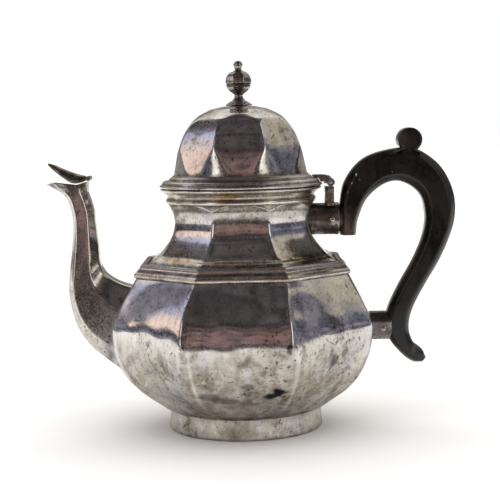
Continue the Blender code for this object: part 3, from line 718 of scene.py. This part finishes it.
def neck_warm(rings):
    z = rings[..., 2]
    shoulder = 0.8 * hump(z, 81.2, 2.2) * step(waves(rings, 16.0, 45), -0.4, 0.6)
    return np.clip(shoulder + 0.55 * hump(z, 105.6, 1.4) * broken(rings, 14.0, 44), 0, 1)


def neck_matte(rings):
    under_rim = 0.75 * step(rings[..., 2], 97, 101) * (0.7 + 0.3 * waves(rings, 14.0, 47))
    return np.clip(under_rim + 0.15 * step(waves(rings, 20.0, 46), 0.0, 1.0), 0, 1)


neck_edge = ridge_highlights(0.0, 0.75, 0.8, 0.2, 10.0, 48, (81, 84), (100, 98))
neck_curve = spline(NECK_CURVE, 84)
neck_inner = inset_curve(neck_curve, SKIN)
neck_inner[0, 1], neck_inner[-1, 1] = neck_curve[0, 1], neck_curve[-1, 1]
neck = panel_shell("neck_shell", neck_rings(neck_curve, 0.0), neck_rings(neck_inner[::3], SKIN),
                   {"grime": neck_grime, "tarnish_shade": neck_matte, "warm": neck_warm, "edge": neck_edge})
finish(neck, "pot", "silver_body", BODY, "neck")


def rim_warm(rings):
    return np.clip(0.45 + 0.4 * waves(rings, 26.0, 52), 0, 1)


def moulding_matte(rings):
    return 0.2 * step(waves(rings, 15.0, 53), -0.5, 1.0)


rim = ring_piece(
    "rim_moulding_turned", [
        (34.1, 105.9), (34.9, 106.3), (35.3, 107.0), (35.2, 107.8), (34.7, 108.3), (34.4, 108.8),
        (34.7, 109.7), (35.6, 110.8), (36.6, 111.5), (37.5, 112.0), (37.85, 112.5), (37.6, 113.0),
        (32.6, 113.0), (32.6, 105.9)],
    0.2, 110,
    {"grime": hollows(0.2, 51, (1.0, 108.8, 0.7), (0.9, 106.0, 0.5), (0.7, 111.3, 0.5)),
     "tarnish_shade": moulding_matte, "warm": rim_warm, "edge": crests((107.2, 112.4), 0.55, 55)},
    0.08, 54)
finish(rim, "pot", "silver_mouldings", MOULDING, "rim_moulding")


# ---------------------------------------------------------------------------------------
# Lid

def flange_warm(rings):
    return np.clip(0.18 + 0.3 * waves(rings, 22.0, 62), 0, 1)


flange = ring_piece(
    "lid_flange_turned", [
        (30.4, 113.3), (37.4, 113.3), (38.2, 113.6), (38.35, 114.1), (38.0, 114.6), (37.2, 114.85),
        (37.0, 115.4), (36.7, 116.1), (36.0, 116.6), (34.7, 116.8), (33.8, 117.0), (33.4, 117.6),
        (32.9, 118.2), (32.1, 118.5), (31.8, 119.2), (30.4, 119.2)],
    0.2, 110,
    {"grime": hollows(0.25, 61, (1.0, 115.1, 0.45), (1.0, 117.2, 0.5), (0.9, 119.1, 0.5)),
     "tarnish_shade": moulding_matte, "warm": flange_warm, "edge": crests((114.1, 116.2, 118.3), 0.45, 65)},
    0.08, 63)
finish(flange, "lid", "silver_mouldings", MOULDING, "lid_flange")
bezel = ring_piece(
    "lid_bezel_band", [(31.1, 113.2), (31.1, 109.3), (32.0, 109.3), (32.0, 113.2)],
    0.15, 40, {"tarnish_shade": moulding_matte}, 0.02, 64)
finish(bezel, "lid", "silver_inside", INSIDE, "lid_bezel")

DOME_CURVE = [
    (31.3, 119.2), (30.2, 123.8), (28.9, 129.0), (27.4, 133.5), (25.3, 138.6),
    (22.3, 143.1), (18.9, 146.7), (13.9, 149.6), (7.2, 150.9), (1.3, 151.1),
]
# The round shape that the dome's panels fade into: (z, radius).
CROWN = [
    (119.2, 31.35), (124.0, 30.95), (131.0, 30.35), (135.5, 30.6), (139.0, 29.0), (142.5, 24.7),
    (145.0, 21.6), (147.2, 18.0), (149.4, 13.3), (150.7, 7.2), (151.1, 1.3),
]


def dome_rings(curve, inset):
    rings = arched(curve, inset, 90.0, CROWN, 0.4)
    free = step(rings[..., 2], 119, 124) * step(np.hypot(rings[..., 0], rings[..., 1]), 4, 14)
    return push_out(rings, free * (0.09 * waves(rings, 26.0, 71) + 0.035 * waves(rings, 11.0, 72)))


def dome_grime(rings):
    reach = np.hypot(rings[..., 0], rings[..., 1])
    collar = 0.9 * hump(reach, 6.2, 1.0) * (rings[..., 2] > 149)
    seam = bands(rings, (0.85, 119.4, 0.9))
    return np.clip((seam + collar) * broken(rings, 8.0, 73), 0, 1)


def dome_warm(rings):
    z = rings[..., 2]
    return 0.35 * hump(z, 120.5, 2.4) * broken(rings, 16.0, 74) + 0.14 * step(z, 144, 149)


def dome_matte(rings):
    return 0.12 * step(waves(rings, 18.0, 75), 0.0, 1.0)


dome_edge = ridge_highlights(0.0, 0.6, 0.6, 0.25, 10.0, 76, (124, 134), (147, 143))
dome_curve = spline(DOME_CURVE, 110)
dome_inner = np.maximum(inset_curve(dome_curve, SKIN), (1.25, 0))
dome_inner[0, 1] = dome_curve[0, 1]
dome = panel_shell("lid_dome_shell", dome_rings(dome_curve, 0.0), dome_rings(dome_inner[::3], SKIN),
                   {"grime": dome_grime, "tarnish_shade": dome_matte, "warm": dome_warm, "edge": dome_edge})
finish(dome, "lid", "silver_body", BODY, "lid_dome")


# ---------------------------------------------------------------------------------------
# Finial

def finial_grime(rings):
    return 0.3 + bands(rings, (0.8, 161.0, 0.3), (0.7, 159.9, 0.3), (0.6, 167.4, 0.8),
                       (0.6, 154.4, 0.7))


def finial_piece(name, outline, count, sharpness, steps, node_name):
    """A solid turned on the upright axis, its middle eight-sided where sharpness is given."""
    curve = spline(outline, count)
    angles = circle(steps)
    r, z = column(curve, 0), column(curve, 1)
    if sharpness:
        facets = step(z, 155.8, 158.0) * step(z, 167.2, 165.4)
        r = r * (1 + (panelled(angles, sharpness) - 1) * facets)
    obj = solid(name, turned(r, angles, z), {"grime": finial_grime})
    finish(obj, "lid", "silver_fittings", KNOP, node_name)


finial_piece("finial_collar_turned", [
    (6.0, 151.0), (6.15, 151.3), (5.9, 151.7), (5.2, 152.0), (5.1, 152.3), (4.3, 152.6),
    (4.1, 152.9), (3.2, 153.3), (2.6, 154.0), (2.3, 154.3)], 60, None, 96, "finial_collar")
finial_piece("finial_knop_faceted", [
    (2.2, 154.3), (1.95, 155.2), (2.1, 156.0), (3.1, 156.9), (4.5, 158.1), (5.4, 159.5),
    (5.62, 159.9), (5.35, 160.15), (5.85, 160.6), (5.5, 161.05), (5.95, 161.5), (5.9, 162.6),
    (5.6, 164.0), (4.8, 165.4), (3.7, 166.4), (2.4, 166.9), (1.75, 167.3)],
    120, 90.0, 128, "finial_knop")
finial_piece("finial_bead_turned", [
    (1.7, 167.2), (1.5, 167.8), (1.75, 168.4), (2.05, 169.2), (2.1, 169.9), (1.85, 170.8),
    (1.3, 171.4), (0.5, 171.75), (0.05, 171.8)], 48, None, 64, "finial_bead")


# ---------------------------------------------------------------------------------------
# Spout and flap

SPOUT_WALL = 0.9
LIP_ROUND = 0.75
# Outer edge (x, z), inner edge (x, z), half-depth, and the turn from pipe to beak.
SPOUT_STATIONS = [
    (-55.1, 25.9, -47.1, 66.2, 12.8, 0.0), (-63.1, 32.3, -55.7, 68.6, 12.4, 0.0),
    (-72.0, 39.6, -60.8, 71.0, 11.2, 0.0), (-77.8, 48.2, -64.5, 74.0, 10.0, 0.0),
    (-80.7, 56.8, -66.4, 77.5, 9.0, 0.0), (-81.9, 65.4, -67.1, 81.2, 8.2, 0.0),
    (-81.4, 74.9, -67.3, 85.7, 7.5, 0.0), (-80.0, 85.4, -67.9, 90.8, 6.9, 0.0),
    (-79.3, 95.4, -68.4, 96.9, 6.4, 0.0), (-79.6, 102.2, -68.9, 102.2, 6.0, 0.0),
    (-81.3, 108.7, -70.4, 108.3, 5.6, 0.0), (-84.4, 112.2, -71.6, 112.1, 5.4, 0.3),
    (-88.1, 114.3, -71.6, 114.9, 5.3, 0.7), (-91.6, 116.1, -71.6, 117.2, 5.2, 1.0),
]
# Half a section's corners: place from outer (-1) to inner edge (1), then depth as pipe and beak.
SPOUT_CORNERS = [
    (-1.0, 0.50, 0.03), (-0.66, 1.0, 0.50), (-0.13, 1.0, 0.84), (0.40, 1.0, 1.0), (1.0, 0.45, 0.80),
]
# How far each corner sinks or rises at the beak's tip.
BEAK_DIP = (0.0, 0.7, -0.35, -1.35, 0.0)


def spout_ring(station, inset):
    x0, z0, x1, z1, half_depth, beak = station
    middle = np.array(((x0 + x1) / 2, (z0 + z1) / 2))
    half = np.array(((x1 - x0) / 2, (z1 - z0) / 2))
    along = 1 - inset / np.linalg.norm(half)
    depth = half_depth - inset
    near = []
    for (place, pipe, leaf), dip in zip(SPOUT_CORNERS, BEAK_DIP):
        x, z = middle + half * place * along
        near.append((x, depth * (pipe + (leaf - pipe) * beak), z + dip * max(0.0, 2 * beak - 1)))
    return rounded(mirrored(near), 0.55 - 0.35 * beak, 104)


def spout_grime(rings):
    x, y, z = rings[..., 0], rings[..., 1], rings[..., 2]
    root = 0.8 * hump(np.hypot(x + 1.7, y), 62.0, 1.6) * step(z, 72, 60)
    inside = 0.9 * step(z, 111.5, 113.5) * step(x, -90.5, -88.5)
    return np.clip(root * broken(rings, 6.0, 81) + 0.5 * inside + 0.12, 0, 1)


def spout_warm(rings):
    return 0.15 + 0.25 * step(rings[..., 2], 106, 113)


def spout_matte(rings):
    return 0.35 * step(rings[..., 2], 62, 44)


def ridge_marks(rings, low, high):
    """Marks the sharp corners of each ring, from how fast its outline turns."""
    way = np.roll(rings, -1, axis=1) - rings
    length = np.linalg.norm(way, axis=-1)
    way = way / np.maximum(length, 1e-6)[..., None]
    turning = np.arccos(np.clip((way * np.roll(way, 1, axis=1)).sum(-1), -1, 1))
    return step(turning / np.maximum(length, 1e-6), low, high)


# Painted highlight along the spout's sharp corners.
def spout_edge(rings):
    return ridge_marks(rings, 0.25, 0.8)


def bowl_filler():
    """The bowl's outside as a solid, to trim what is soldered to it."""
    return solid("bowl_filler", bowl_rings(inset_curve(bowl_curve[::3], SOLDER_INSET)))


def neck_filler():
    curve = inset_curve(neck_curve[::3], SOLDER_INSET)
    return solid("neck_filler", neck_rings(curve, SOLDER_INSET))


spout_rows = smooth_columns(np.array(SPOUT_STATIONS), 130)
spout_rows[:, 5] = np.clip(spout_rows[:, 5], 0, 1)
spout_outer = [spout_ring(row, 0.0) for row in spout_rows]
spout_inner = [spout_ring(row, SPOUT_WALL) for row in spout_rows[:-1]]
lip = spout_ring(spout_rows[-1], LIP_ROUND)
spout_rings = np.array(spout_outer + [lip] + spout_inner[::-1])
spout_rings = push_out(spout_rings, 0.05 * waves(spout_rings, 16.0, 82))
spout = band("spout_faceted", spout_rings,
             {"grime": spout_grime, "tarnish_shade": spout_matte, "warm": spout_warm, "edge": spout_edge})
carve(spout, 40, "DIFFERENCE", bowl_filler())
finish(spout, "pot", "silver_body", BODY, "spout")

# Hinge end to tip: x, rim height, crown height, half-width.
FLAP_STATIONS = [
    (-72.7, 117.7, 119.8, 3.2), (-75.6, 116.6, 120.6, 4.6), (-79.0, 116.8, 121.7, 4.9),
    (-83.0, 119.3, 123.4, 4.1), (-86.5, 121.9, 125.0, 2.8), (-89.2, 124.2, 125.9, 1.3),
    (-90.3, 125.2, 126.0, 0.4),
]


def flap_ring(station):
    x, low, high, half = station
    rise = high - low
    rim = min(0.7, half * 0.4)
    near = [(half, 0.0), (half, 0.40), (half * 0.62, 0.82), (half * 0.22, 1.0)]
    back = [(half * 0.22, 0.62), (half * 0.55, 0.50), (half - rim, 0.24), (half - rim, 0.0)]
    outer = near + [(-y, h) for y, h in near[::-1]]
    inner = [(-y, h) for y, h in back[::-1]] + back
    ring = np.array([(x, y, low + rise * h) for y, h in outer + inner])
    return rounded(ring, 0.16, 72)


def flap_grime(points):
    x = points[..., 0]
    return np.clip(0.45 + 0.3 * step(x, -84, -76) + 0.2 * waves(points, 5.0, 85), 0, 1)


def flap_warm(points):
    return np.full(points.shape[:-1], 0.35)


flap = solid("spout_flap_leaf",
             [flap_ring(row) for row in smooth_columns(np.array(FLAP_STATIONS), 70)],
             {"grime": flap_grime, "warm": flap_warm})
finish(flap, "flap", "silver_body", MOULDING, "spout_flap")


# ---------------------------------------------------------------------------------------
# Handle

# Inner edge (x, z), outer edge (x, z) and half-depth.
HANDLE_STATIONS = [
    (53.5, 89.7, 46.3, 89.7, 7.3), (54.5, 96.6, 46.2, 97.1, 7.4),
    (58.1, 105.3, 46.3, 105.3, 7.3), (63.1, 110.6, 48.9, 115.2, 7.1),
    (68.2, 113.6, 55.9, 124.0, 7.0), (73.0, 114.4, 65.9, 128.4, 6.9),
    (77.7, 113.0, 80.2, 129.7, 6.9), (82.0, 110.0, 90.7, 123.7, 6.8),
    (84.8, 105.9, 96.7, 115.7, 6.7), (86.0, 99.9, 99.9, 106.0, 6.6),
    (86.0, 94.2, 99.8, 96.2, 6.5), (84.3, 86.5, 96.9, 86.5, 6.4),
    (80.0, 76.8, 92.3, 76.5, 6.3), (74.5, 67.3, 86.3, 66.5, 6.2),
    (69.7, 58.2, 81.4, 57.7, 6.1), (67.3, 51.7, 78.6, 50.8, 6.0),
    (67.1, 44.8, 77.9, 44.9, 5.9), (69.0, 39.2, 78.7, 40.8, 5.8),
    (72.6, 34.4, 80.3, 37.6, 5.7), (76.7, 30.5, 82.5, 35.9, 5.5),
    (80.1, 28.6, 84.5, 33.9, 5.0), (83.0, 28.4, 85.5, 31.4, 4.0),
]
TAIL_WAY = (0.86, 0.0, -0.30)
CURL_CENTRE = (79.0, 133.4)
CURL_RADIUS = 5.7
EDGE_ROUND = 1.3
HANDLE_CORNERS = [(-1.0, 0.5), (-0.6, 1.0), (0.6, 1.0), (1.0, 0.5)]


def handle_ring(station, shrink=0.0):
    x0, z0, x1, z1, half_depth = station
    middle = np.array(((x0 + x1) / 2, (z0 + z1) / 2))
    half = np.array(((x1 - x0) / 2, (z1 - z0) / 2)) * (1 - shrink)
    near = []
    for place, depth in HANDLE_CORNERS:
        x, z = middle + half * place
        near.append((x, half_depth * (1 - shrink) * depth, z))
    return rounded(mirrored(near), 0.8, 88)


handle_rows = smooth_columns(np.array(HANDLE_STATIONS), 190)
handle_rings = [handle_ring(handle_rows[0], shrink) for shrink in (0.10, 0.03)]
handle_rings += [handle_ring(row) for row in handle_rows]
tail = handle_rings[-1].mean(0)
for share, reach in ((0.92, 0.45), (0.75, 0.85), (0.45, 1.15), (0.15, 1.3)):
    last = handle_rings[-1]
    handle_rings.append(tail + (last - last.mean(0)) * share + np.multiply(TAIL_WAY, reach))


def handle_rubbing_and_highlight(points):
    x, z = points[..., 0], points[..., 2]
    terminal = 0.75 * step(x, 60, 50) * step(z, 106, 92)
    foot_wear = 0.4 * step(z, 40, 28)
    # Painted highlight: the curl's left side paler, for the sheen down its left.
    curl_left_highlight = 0.2 * step(z, 127, 130) * step(x, 79.5, 74.5)
    notch = 0.5 * hump(np.hypot(x - 80.5, z - 36.2), 0, 2.2)
    return np.clip(terminal + foot_wear + curl_left_highlight + notch + 0.05, 0, 1)


def pillow(outline, half_width, corner, count, levels):
    """Rings of an XZ outline given a width in Y with rounded edges."""
    ring = rounded(np.array(outline, float), corner, count)
    way = np.roll(ring, -1, 0) - np.roll(ring, 1, 0)
    way /= np.linalg.norm(way, axis=1)[:, None]
    side = np.stack((way[:, 1], -way[:, 0]), 1)
    area = np.sum(ring[:, 0] * np.roll(ring[:, 1], -1) - np.roll(ring[:, 0], -1) * ring[:, 1])
    side *= np.sign(area)
    rings = []
    for a in np.radians(np.linspace(-90, 90, levels)):
        y = half_width * np.sign(a) * (1 - (1 - abs(math.sin(a))) * EDGE_ROUND / half_width)
        flat = ring - side * (1 - math.cos(a)) * EDGE_ROUND
        rings.append(np.stack((flat[:, 0], np.full(count, y), flat[:, 1]), 1))
    return rings


def tenon(x0, x1, z, radius, steps):
    turn = circle(steps)
    ring = np.stack((np.zeros(steps), radius * np.cos(turn), z + radius * np.sin(turn)), 1)
    return solid("tenon_part", [ring + (x0, 0, 0), ring + (x1, 0, 0)])


curl_outline = []
for degrees in range(-62, 218, 8):
    turn = math.radians(degrees)
    swell = CURL_RADIUS * (1 - 0.03 * math.cos(math.radians(degrees - 200)))
    curl_outline.append((CURL_CENTRE[0] + swell * math.cos(turn),
                         CURL_CENTRE[1] + swell * math.sin(turn)))
curl_outline += [(74.9, 130.4), (75.6, 129.6), (73.4, 128.6), (70.5, 127.6), (72.5, 123.0),
                 (84.0, 122.5), (84.6, 127.6), (83.0, 128.2)]
handle = solid("handle_carved", handle_rings)
carve(handle, 45, "UNION", solid("curl_part", pillow(curl_outline, 6.15, 0.5, 130, 15)),
      tenon(38.5, 50.0, UPPER_SOCKET_Z, 6.2, 40), tenon(62.8, 73.0, LOWER_SOCKET_Z, 5.0, 24))
add_marks(handle, {"wear_and_highlight": handle_rubbing_and_highlight})
finish(handle, "pot", "ebonised_wood", WOOD, "handle")


# ---------------------------------------------------------------------------------------
# Sockets, pins, hinge

def fitting_grime(points):
    return np.clip(0.35 + 0.3 * waves(points, 7.0, 91), 0, 1)


def fitting_warm(points):
    return np.full(points.shape[:-1], 0.15)


def pin_grime(points):
    return np.full(points.shape[:-1], 0.1)


FITTING_MARKS = {"grime": fitting_grime, "warm": fitting_warm}


def pipe(name, x_steps, z, sides, outer, inner, corner):
    """A pipe along X: rows of (x, growth) for its outside, round or with flat sides."""
    count = 144
    turn = (np.arange(sides) + 0.5) * 2 * math.pi / sides if sides else circle(count)
    base = np.stack((np.zeros(len(turn)), np.cos(turn), np.sin(turn)), 1)
    if sides:
        base = rounded(base / math.cos(math.pi / sides), corner, count)
    rings = [base * (outer + grow) + (x, 0, z) for x, grow in x_steps]
    rings += [base * inner + (x, 0, z) for x, _ in x_steps[::-1]]
    return band(name, np.array(rings), None, 40)


upper_steps = [(29.0, 0.0)] + [(x, 0.0) for x in np.linspace(31, 43.4, 26)]
upper_steps += [(43.9, 0.04), (44.3, 0.16), (44.9, 0.2), (45.4, 0.14), (45.7, 0.0), (45.85, -0.3)]
upper = pipe("upper_socket_turned", upper_steps, UPPER_SOCKET_Z, 0, 7.45, 6.5, 0)
carve(upper, 40, "DIFFERENCE", neck_filler())
add_marks(upper, FITTING_MARKS)
finish(upper, "pot", "silver_fittings", FITTING, "upper_handle_socket")

lower_steps = [(54.0, 0.0)] + [(x, 0.0) for x in np.linspace(56, 69.0, 20)]
lower_steps += [(69.4, -0.1), (69.6, -0.35)]
lower = pipe("lower_socket_faceted", lower_steps, LOWER_SOCKET_Z, 8, 6.5, 5.4, 0.06)
handle_cutter = solid("handle_cutter", [handle_ring(row, -0.02) for row in handle_rows])
carve(lower, 30, "DIFFERENCE", bowl_filler(), handle_cutter)
add_marks(lower, FITTING_MARKS)
finish(lower, "pot", "silver_fittings", FITTING, "lower_handle_socket")


def along_y(centre, section, steps):
    """Rings about an axis along Y through (x, z), from (y, radius) rows."""
    x, z = centre
    turn = circle(steps)
    return np.array([np.stack((x + r * np.cos(turn), np.full(steps, y), z + r * np.sin(turn)), 1)
                     for y, r in section])


def domed_pin(name, centre, radius, half_length, dome, material, node_name):
    """A round pin along Y with gently domed ends."""
    section = [(-half_length - dome * rise, radius * share)
               for rise, share in ((1.0, 0.25), (0.8, 0.6), (0.35, 0.88), (0.0, 1.0))]
    middle = [(y, radius) for y in np.linspace(-half_length + 0.3, half_length - 0.3, 8)]
    section += middle + [(-y, r) for y, r in section[::-1]]
    obj = solid(name, along_y(centre, section, 40), {"grime": pin_grime})
    finish(obj, "pot", "silver_fittings", material, node_name)


domed_pin("upper_pin_head", (42.3, 97.3), 1.1, 7.6, 0.25, HINGE, "upper_handle_pin")
domed_pin("lower_pin_head", (65.5, 45.3), 1.1, 6.5, 0.25, HINGE, "lower_handle_pin")
domed_pin("lid_hinge_rod", LID_PIN, 0.75, 5.95, 0.15, MOULDING, "lid_hinge_pin")
domed_pin("flap_hinge_rod", FLAP_PIN, 0.45, 4.25, 0.1, MOULDING, "flap_pin")


def knuckle(name, centre, outer, inner, low, high, body, node_name):
    """A short tube along Y with softened edges."""
    edge = 0.18 * (outer - inner)
    section = [(low + edge, outer), (low, outer - edge), (low, inner + edge), (low + edge, inner),
               (high - edge, inner), (high, inner + edge), (high, outer - edge),
               (high - edge, outer)]
    rings = along_y(centre, rounded(np.array(section), 0.08, 48), 56)
    finish(band(name, rings, FITTING_MARKS), body, "silver_fittings", HINGE, node_name)


knuckle("lid_knuckle_near", LID_PIN, 1.9, 0.9, -5.9, -3.0, "pot", "lid_knuckle_front")
knuckle("lid_knuckle_far", LID_PIN, 1.9, 0.9, 3.0, 5.9, "pot", "lid_knuckle_back")
knuckle("lid_knuckle_centre", LID_PIN, 1.9, 0.9, -2.7, 2.7, "lid", "lid_knuckle_middle")
knuckle("flap_knuckle_near", FLAP_PIN, 1.15, 0.6, -4.2, -2.2, "pot", "flap_knuckle_front")
knuckle("flap_knuckle_far", FLAP_PIN, 1.15, 0.6, 2.2, 4.2, "pot", "flap_knuckle_back")
knuckle("flap_knuckle_centre", FLAP_PIN, 1.15, 0.6, -1.9, 1.9, "flap", "flap_knuckle_middle")

post_plan = rounded(np.array([
    (40.6, -5.9, 0), (43.2, -5.9, 0), (43.6, -5.4, 0), (43.6, 5.4, 0), (43.2, 5.9, 0),
    (40.6, 5.9, 0), (39.2, 4.5, 0), (39.2, -4.5, 0)], float), 0.25, 96)
post_middle = post_plan.mean(0)
post_shares = [(z, 1 - 0.35 * hump(z, 109.0, 2.6) / 5.9) for z in np.linspace(103.6, 112.3, 22)]
post = solid("lid_post_bracket",
             [(post_plan - post_middle) * share + post_middle + (0, 0, z)
              for z, share in post_shares + [(112.42, 0.94)]], FITTING_MARKS, 40)
finish(post, "pot", "silver_fittings", HINGE, "lid_hinge_post")

ARM_HALF_WIDTH = 2.7
ARM_ROUND = 2.1
arm_outline = [
    (33.4, 118.1), (33.6, 117.3), (34.8, 116.85), (36.1, 116.65), (36.9, 116.1), (37.2, 115.3),
    (37.7, 114.8), (38.8, 114.7), (39.2, 113.8)]
for turn in np.radians((200, 170, 145, 120, 90)):
    arm_outline.append((LID_PIN[0] + ARM_ROUND * math.cos(turn),
                        LID_PIN[1] + ARM_ROUND * math.sin(turn)))
arm_outline += [(42.3, 117.0), (42.0, 117.4), (40.6, 117.8), (38.0, 118.2)]
arm_side = rounded(np.array(arm_outline), 0.2, 90)
arm_middle = arm_side.mean(0)
arm_rings = []
for y, share in ((-1.0, 0.93), (-0.95, 0.985), (-0.86, 1.0), (-0.4, 1.0), (0.0, 1.0), (0.4, 1.0),
                 (0.86, 1.0), (0.95, 0.985), (1.0, 0.93)):
    flat = arm_middle + (arm_side - arm_middle) * share
    arm_rings.append(np.insert(flat, 1, y * ARM_HALF_WIDTH, axis=1))
finish(solid("lid_arm_strap", arm_rings, FITTING_MARKS, 40), "lid", "silver_fittings", HINGE,
       "lid_hinge_arm")

# Solids that look right as they are, seen only from inside or below
for hidden in ("base_disc", "spout_strainer", "finial_screw", "finial_nut"):
    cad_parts[hidden].data.materials.clear()
    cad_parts[hidden].data.materials.append(INSIDE)


# ---------------------------------------------------------------------------------------
# Floor, light and camera

FLOOR_RADIUS = 6.0
FLOOR_DROP = 0.0002
# The metal mirrors a dark foreground beyond the front of the white sheet.
SHEET_FRONT = -0.33
SHEET_FADE = 0.015

floor_mesh = bpy.data.meshes.new("floor")
floor_mesh.from_pydata([(FLOOR_RADIUS * math.cos(a), FLOOR_RADIUS * math.sin(a), -FLOOR_DROP)
                        for a in circle(96)], [], [tuple(range(96))])
floor = bpy.data.objects.new("floor", floor_mesh)
bpy.context.scene.collection.objects.link(floor)
floor_material, g, floor_shader = new_material("pale_floor")
floor_y = g.node("ShaderNodeSeparateXYZ", {
    0: g.node("ShaderNodeTexCoord").outputs["Object"]}).outputs[1]
foreground = g.times(g.remap(floor_y, SHEET_FRONT + SHEET_FADE, SHEET_FRONT - SHEET_FADE),
                     g.node("ShaderNodeLightPath").outputs["Is Glossy Ray"])
g.link(g.blend(foreground, (0.97, 0.965, 0.955), (0.05, 0.038, 0.038)),
       floor_shader.inputs["Base Color"])
floor_shader.inputs["Roughness"].default_value = 0.9
floor_shader.inputs["Specular IOR Level"].default_value = 0.1
floor_mesh.materials.append(floor_material)

sun_data = bpy.data.lights.new("sky_fill", "SUN")
sun_data.energy = 2.75
sun_data.angle = math.radians(110)
sun = bpy.data.objects.new("sky_fill", sun_data)
sun.visible_glossy = False
bpy.context.scene.collection.objects.link(sun)


def room():
    """A stand-in for the room, by direction: dim in front, window at the left, pale behind."""
    world = bpy.data.worlds.new("room")
    world.use_nodes = True
    world.node_tree.nodes.clear()
    g = Graph(world.node_tree)
    way = g.node("ShaderNodeTexCoord").outputs["Generated"]
    x, y, z = g.node("ShaderNodeSeparateXYZ", {0: way}).outputs
    aside = g.absolute(x)
    rumple = g.noise(way, 2.6, 5.0, 0.62)
    uneven = g.minus(rumple, 0.5)
    height = g.plus(z, g.times(uneven, 0.22))

    # The dim room in front, with a warm band and gleams low down
    murk = g.remap(g.noise(way, 4.6, 5.0, 0.62), 0.42, 0.62)
    colour = g.blend(murk, (0.034, 0.031, 0.034), (0.125, 0.113, 0.120))
    streak = g.mapped(way, Scale=(1.0, 1.0, 16.0))
    streaks = g.remap(g.noise(streak, 1.6, 5.0, 0.65), 0.44, 0.54)
    patches = g.remap(g.noise(way, 3.4, 3.0, 0.5), 0.40, 0.50)
    low_band = g.times(streaks, patches, g.remap(height, 0.64, 0.33), g.remap(z, 0.0, 0.07),
                       g.remap(aside, 0.40, 0.26))
    colour = g.blend(low_band, colour, (0.44, 0.27, 0.255))
    gleam = g.times(g.remap(g.noise(streak, 2.3, 3.0, 0.5), 0.60, 0.66),
                    g.remap(height, 0.50, 0.20), 0.7)
    colour = g.blend(gleam, colour, (0.85, 0.74, 0.70))

    # The sides: bluish murk, and a pale wall high at the right
    side_murk = g.blend(g.remap(g.noise(way, 6.5, 4.0, 0.6), 0.42, 0.60),
                        (0.055, 0.065, 0.10), (0.34, 0.33, 0.42))
    colour = g.blend(g.remap(aside, 0.66, 0.86), colour, side_murk)
    slope = g.plus(g.plus(z, g.times(y, 0.5)), g.times(uneven, 0.3))
    right_high = g.times(g.remap(x, 0.45, 0.55), g.remap(slope, 0.49, 0.53), 0.9)
    colour = g.blend(right_high, colour, (0.64, 0.59, 0.50))

    # The window, warm below and cool above, and a bright strip each side
    window = g.times(g.remap(x, -0.52, -0.66), g.remap(height, 0.22, 0.27),
                     g.remap(height, 0.74, 0.62), g.remap(y, 0.27, 0.21),
                     g.remap(y, -0.20, -0.08))
    tint = g.blend(g.remap(height, 0.36, 0.50), (1.20, 0.96, 0.87), (0.72, 0.76, 1.02))
    colour = g.blend(window, colour, tint)
    for side in (-1.0, 1.0):
        strip = g.times(g.remap(g.absolute(g.minus(x, 0.66 * side)), 0.11, 0.06),
                        g.remap(y, -0.35, -0.45), g.remap(z, 0.66, 0.50))
        colour = g.blend(strip, colour, (1.6, 1.56, 1.48))

    # The backdrop behind, and pale below the horizon
    behind = g.remap(g.plus(y, g.times(rumple, 0.3)), 0.56, 0.64)
    backdrop = g.blend(g.remap(height, 0.30, 0.75), (0.30, 0.285, 0.26), (1.0, 0.97, 0.92))
    colour = g.blend(behind, colour, backdrop)
    colour = g.blend(g.remap(z, 0.0, -0.03), colour, (0.8, 0.78, 0.75))

    lit = g.node("ShaderNodeBackground", {"Color": colour, "Strength": 1.0})
    shown = g.node("ShaderNodeBackground", {"Color": (1, 1, 1, 1), "Strength": 1.0})
    seen = g.node("ShaderNodeLightPath").outputs["Is Camera Ray"]
    mix = g.node("ShaderNodeMixShader", {0: seen, 1: lit.outputs[0], 2: shown.outputs[0]})
    g.node("ShaderNodeOutputWorld", {0: mix.outputs[0]})
    bpy.context.scene.world = world


room()

# The camera stands in front and a little above, tipped down and rolled slightly.
DISTANCE = 0.611
EYE_HEIGHT = 0.141
TURN = math.radians(0.5)
TILT = math.radians(5.4)
ROLL = math.radians(1.3)
ahead = Vector((-math.sin(TURN) * math.cos(TILT), math.cos(TURN) * math.cos(TILT), -math.sin(TILT)))
across = Vector((math.cos(TURN), math.sin(TURN), 0.0))
above = across.cross(ahead)
camera_x = across * math.cos(ROLL) - above * math.sin(ROLL)
camera_y = above * math.cos(ROLL) + across * math.sin(ROLL)
place = Vector((AXIS[0] + DISTANCE * math.sin(TURN), -DISTANCE * math.cos(TURN), EYE_HEIGHT))
camera_data = bpy.data.cameras.new("camera")
camera_data.lens = 93.6
camera_data.sensor_width = 36.0
camera_data.shift_x = 0.0156
camera = bpy.data.objects.new("camera", camera_data)
camera.matrix_world = Matrix((
    (camera_x.x, camera_y.x, -ahead.x, place.x),
    (camera_x.y, camera_y.y, -ahead.y, place.y),
    (camera_x.z, camera_y.z, -ahead.z, place.z),
    (0.0, 0.0, 0.0, 1.0)))
bpy.context.scene.collection.objects.link(camera)
bpy.context.scene.camera = camera
bpy.context.scene.view_settings.view_transform = "Standard"
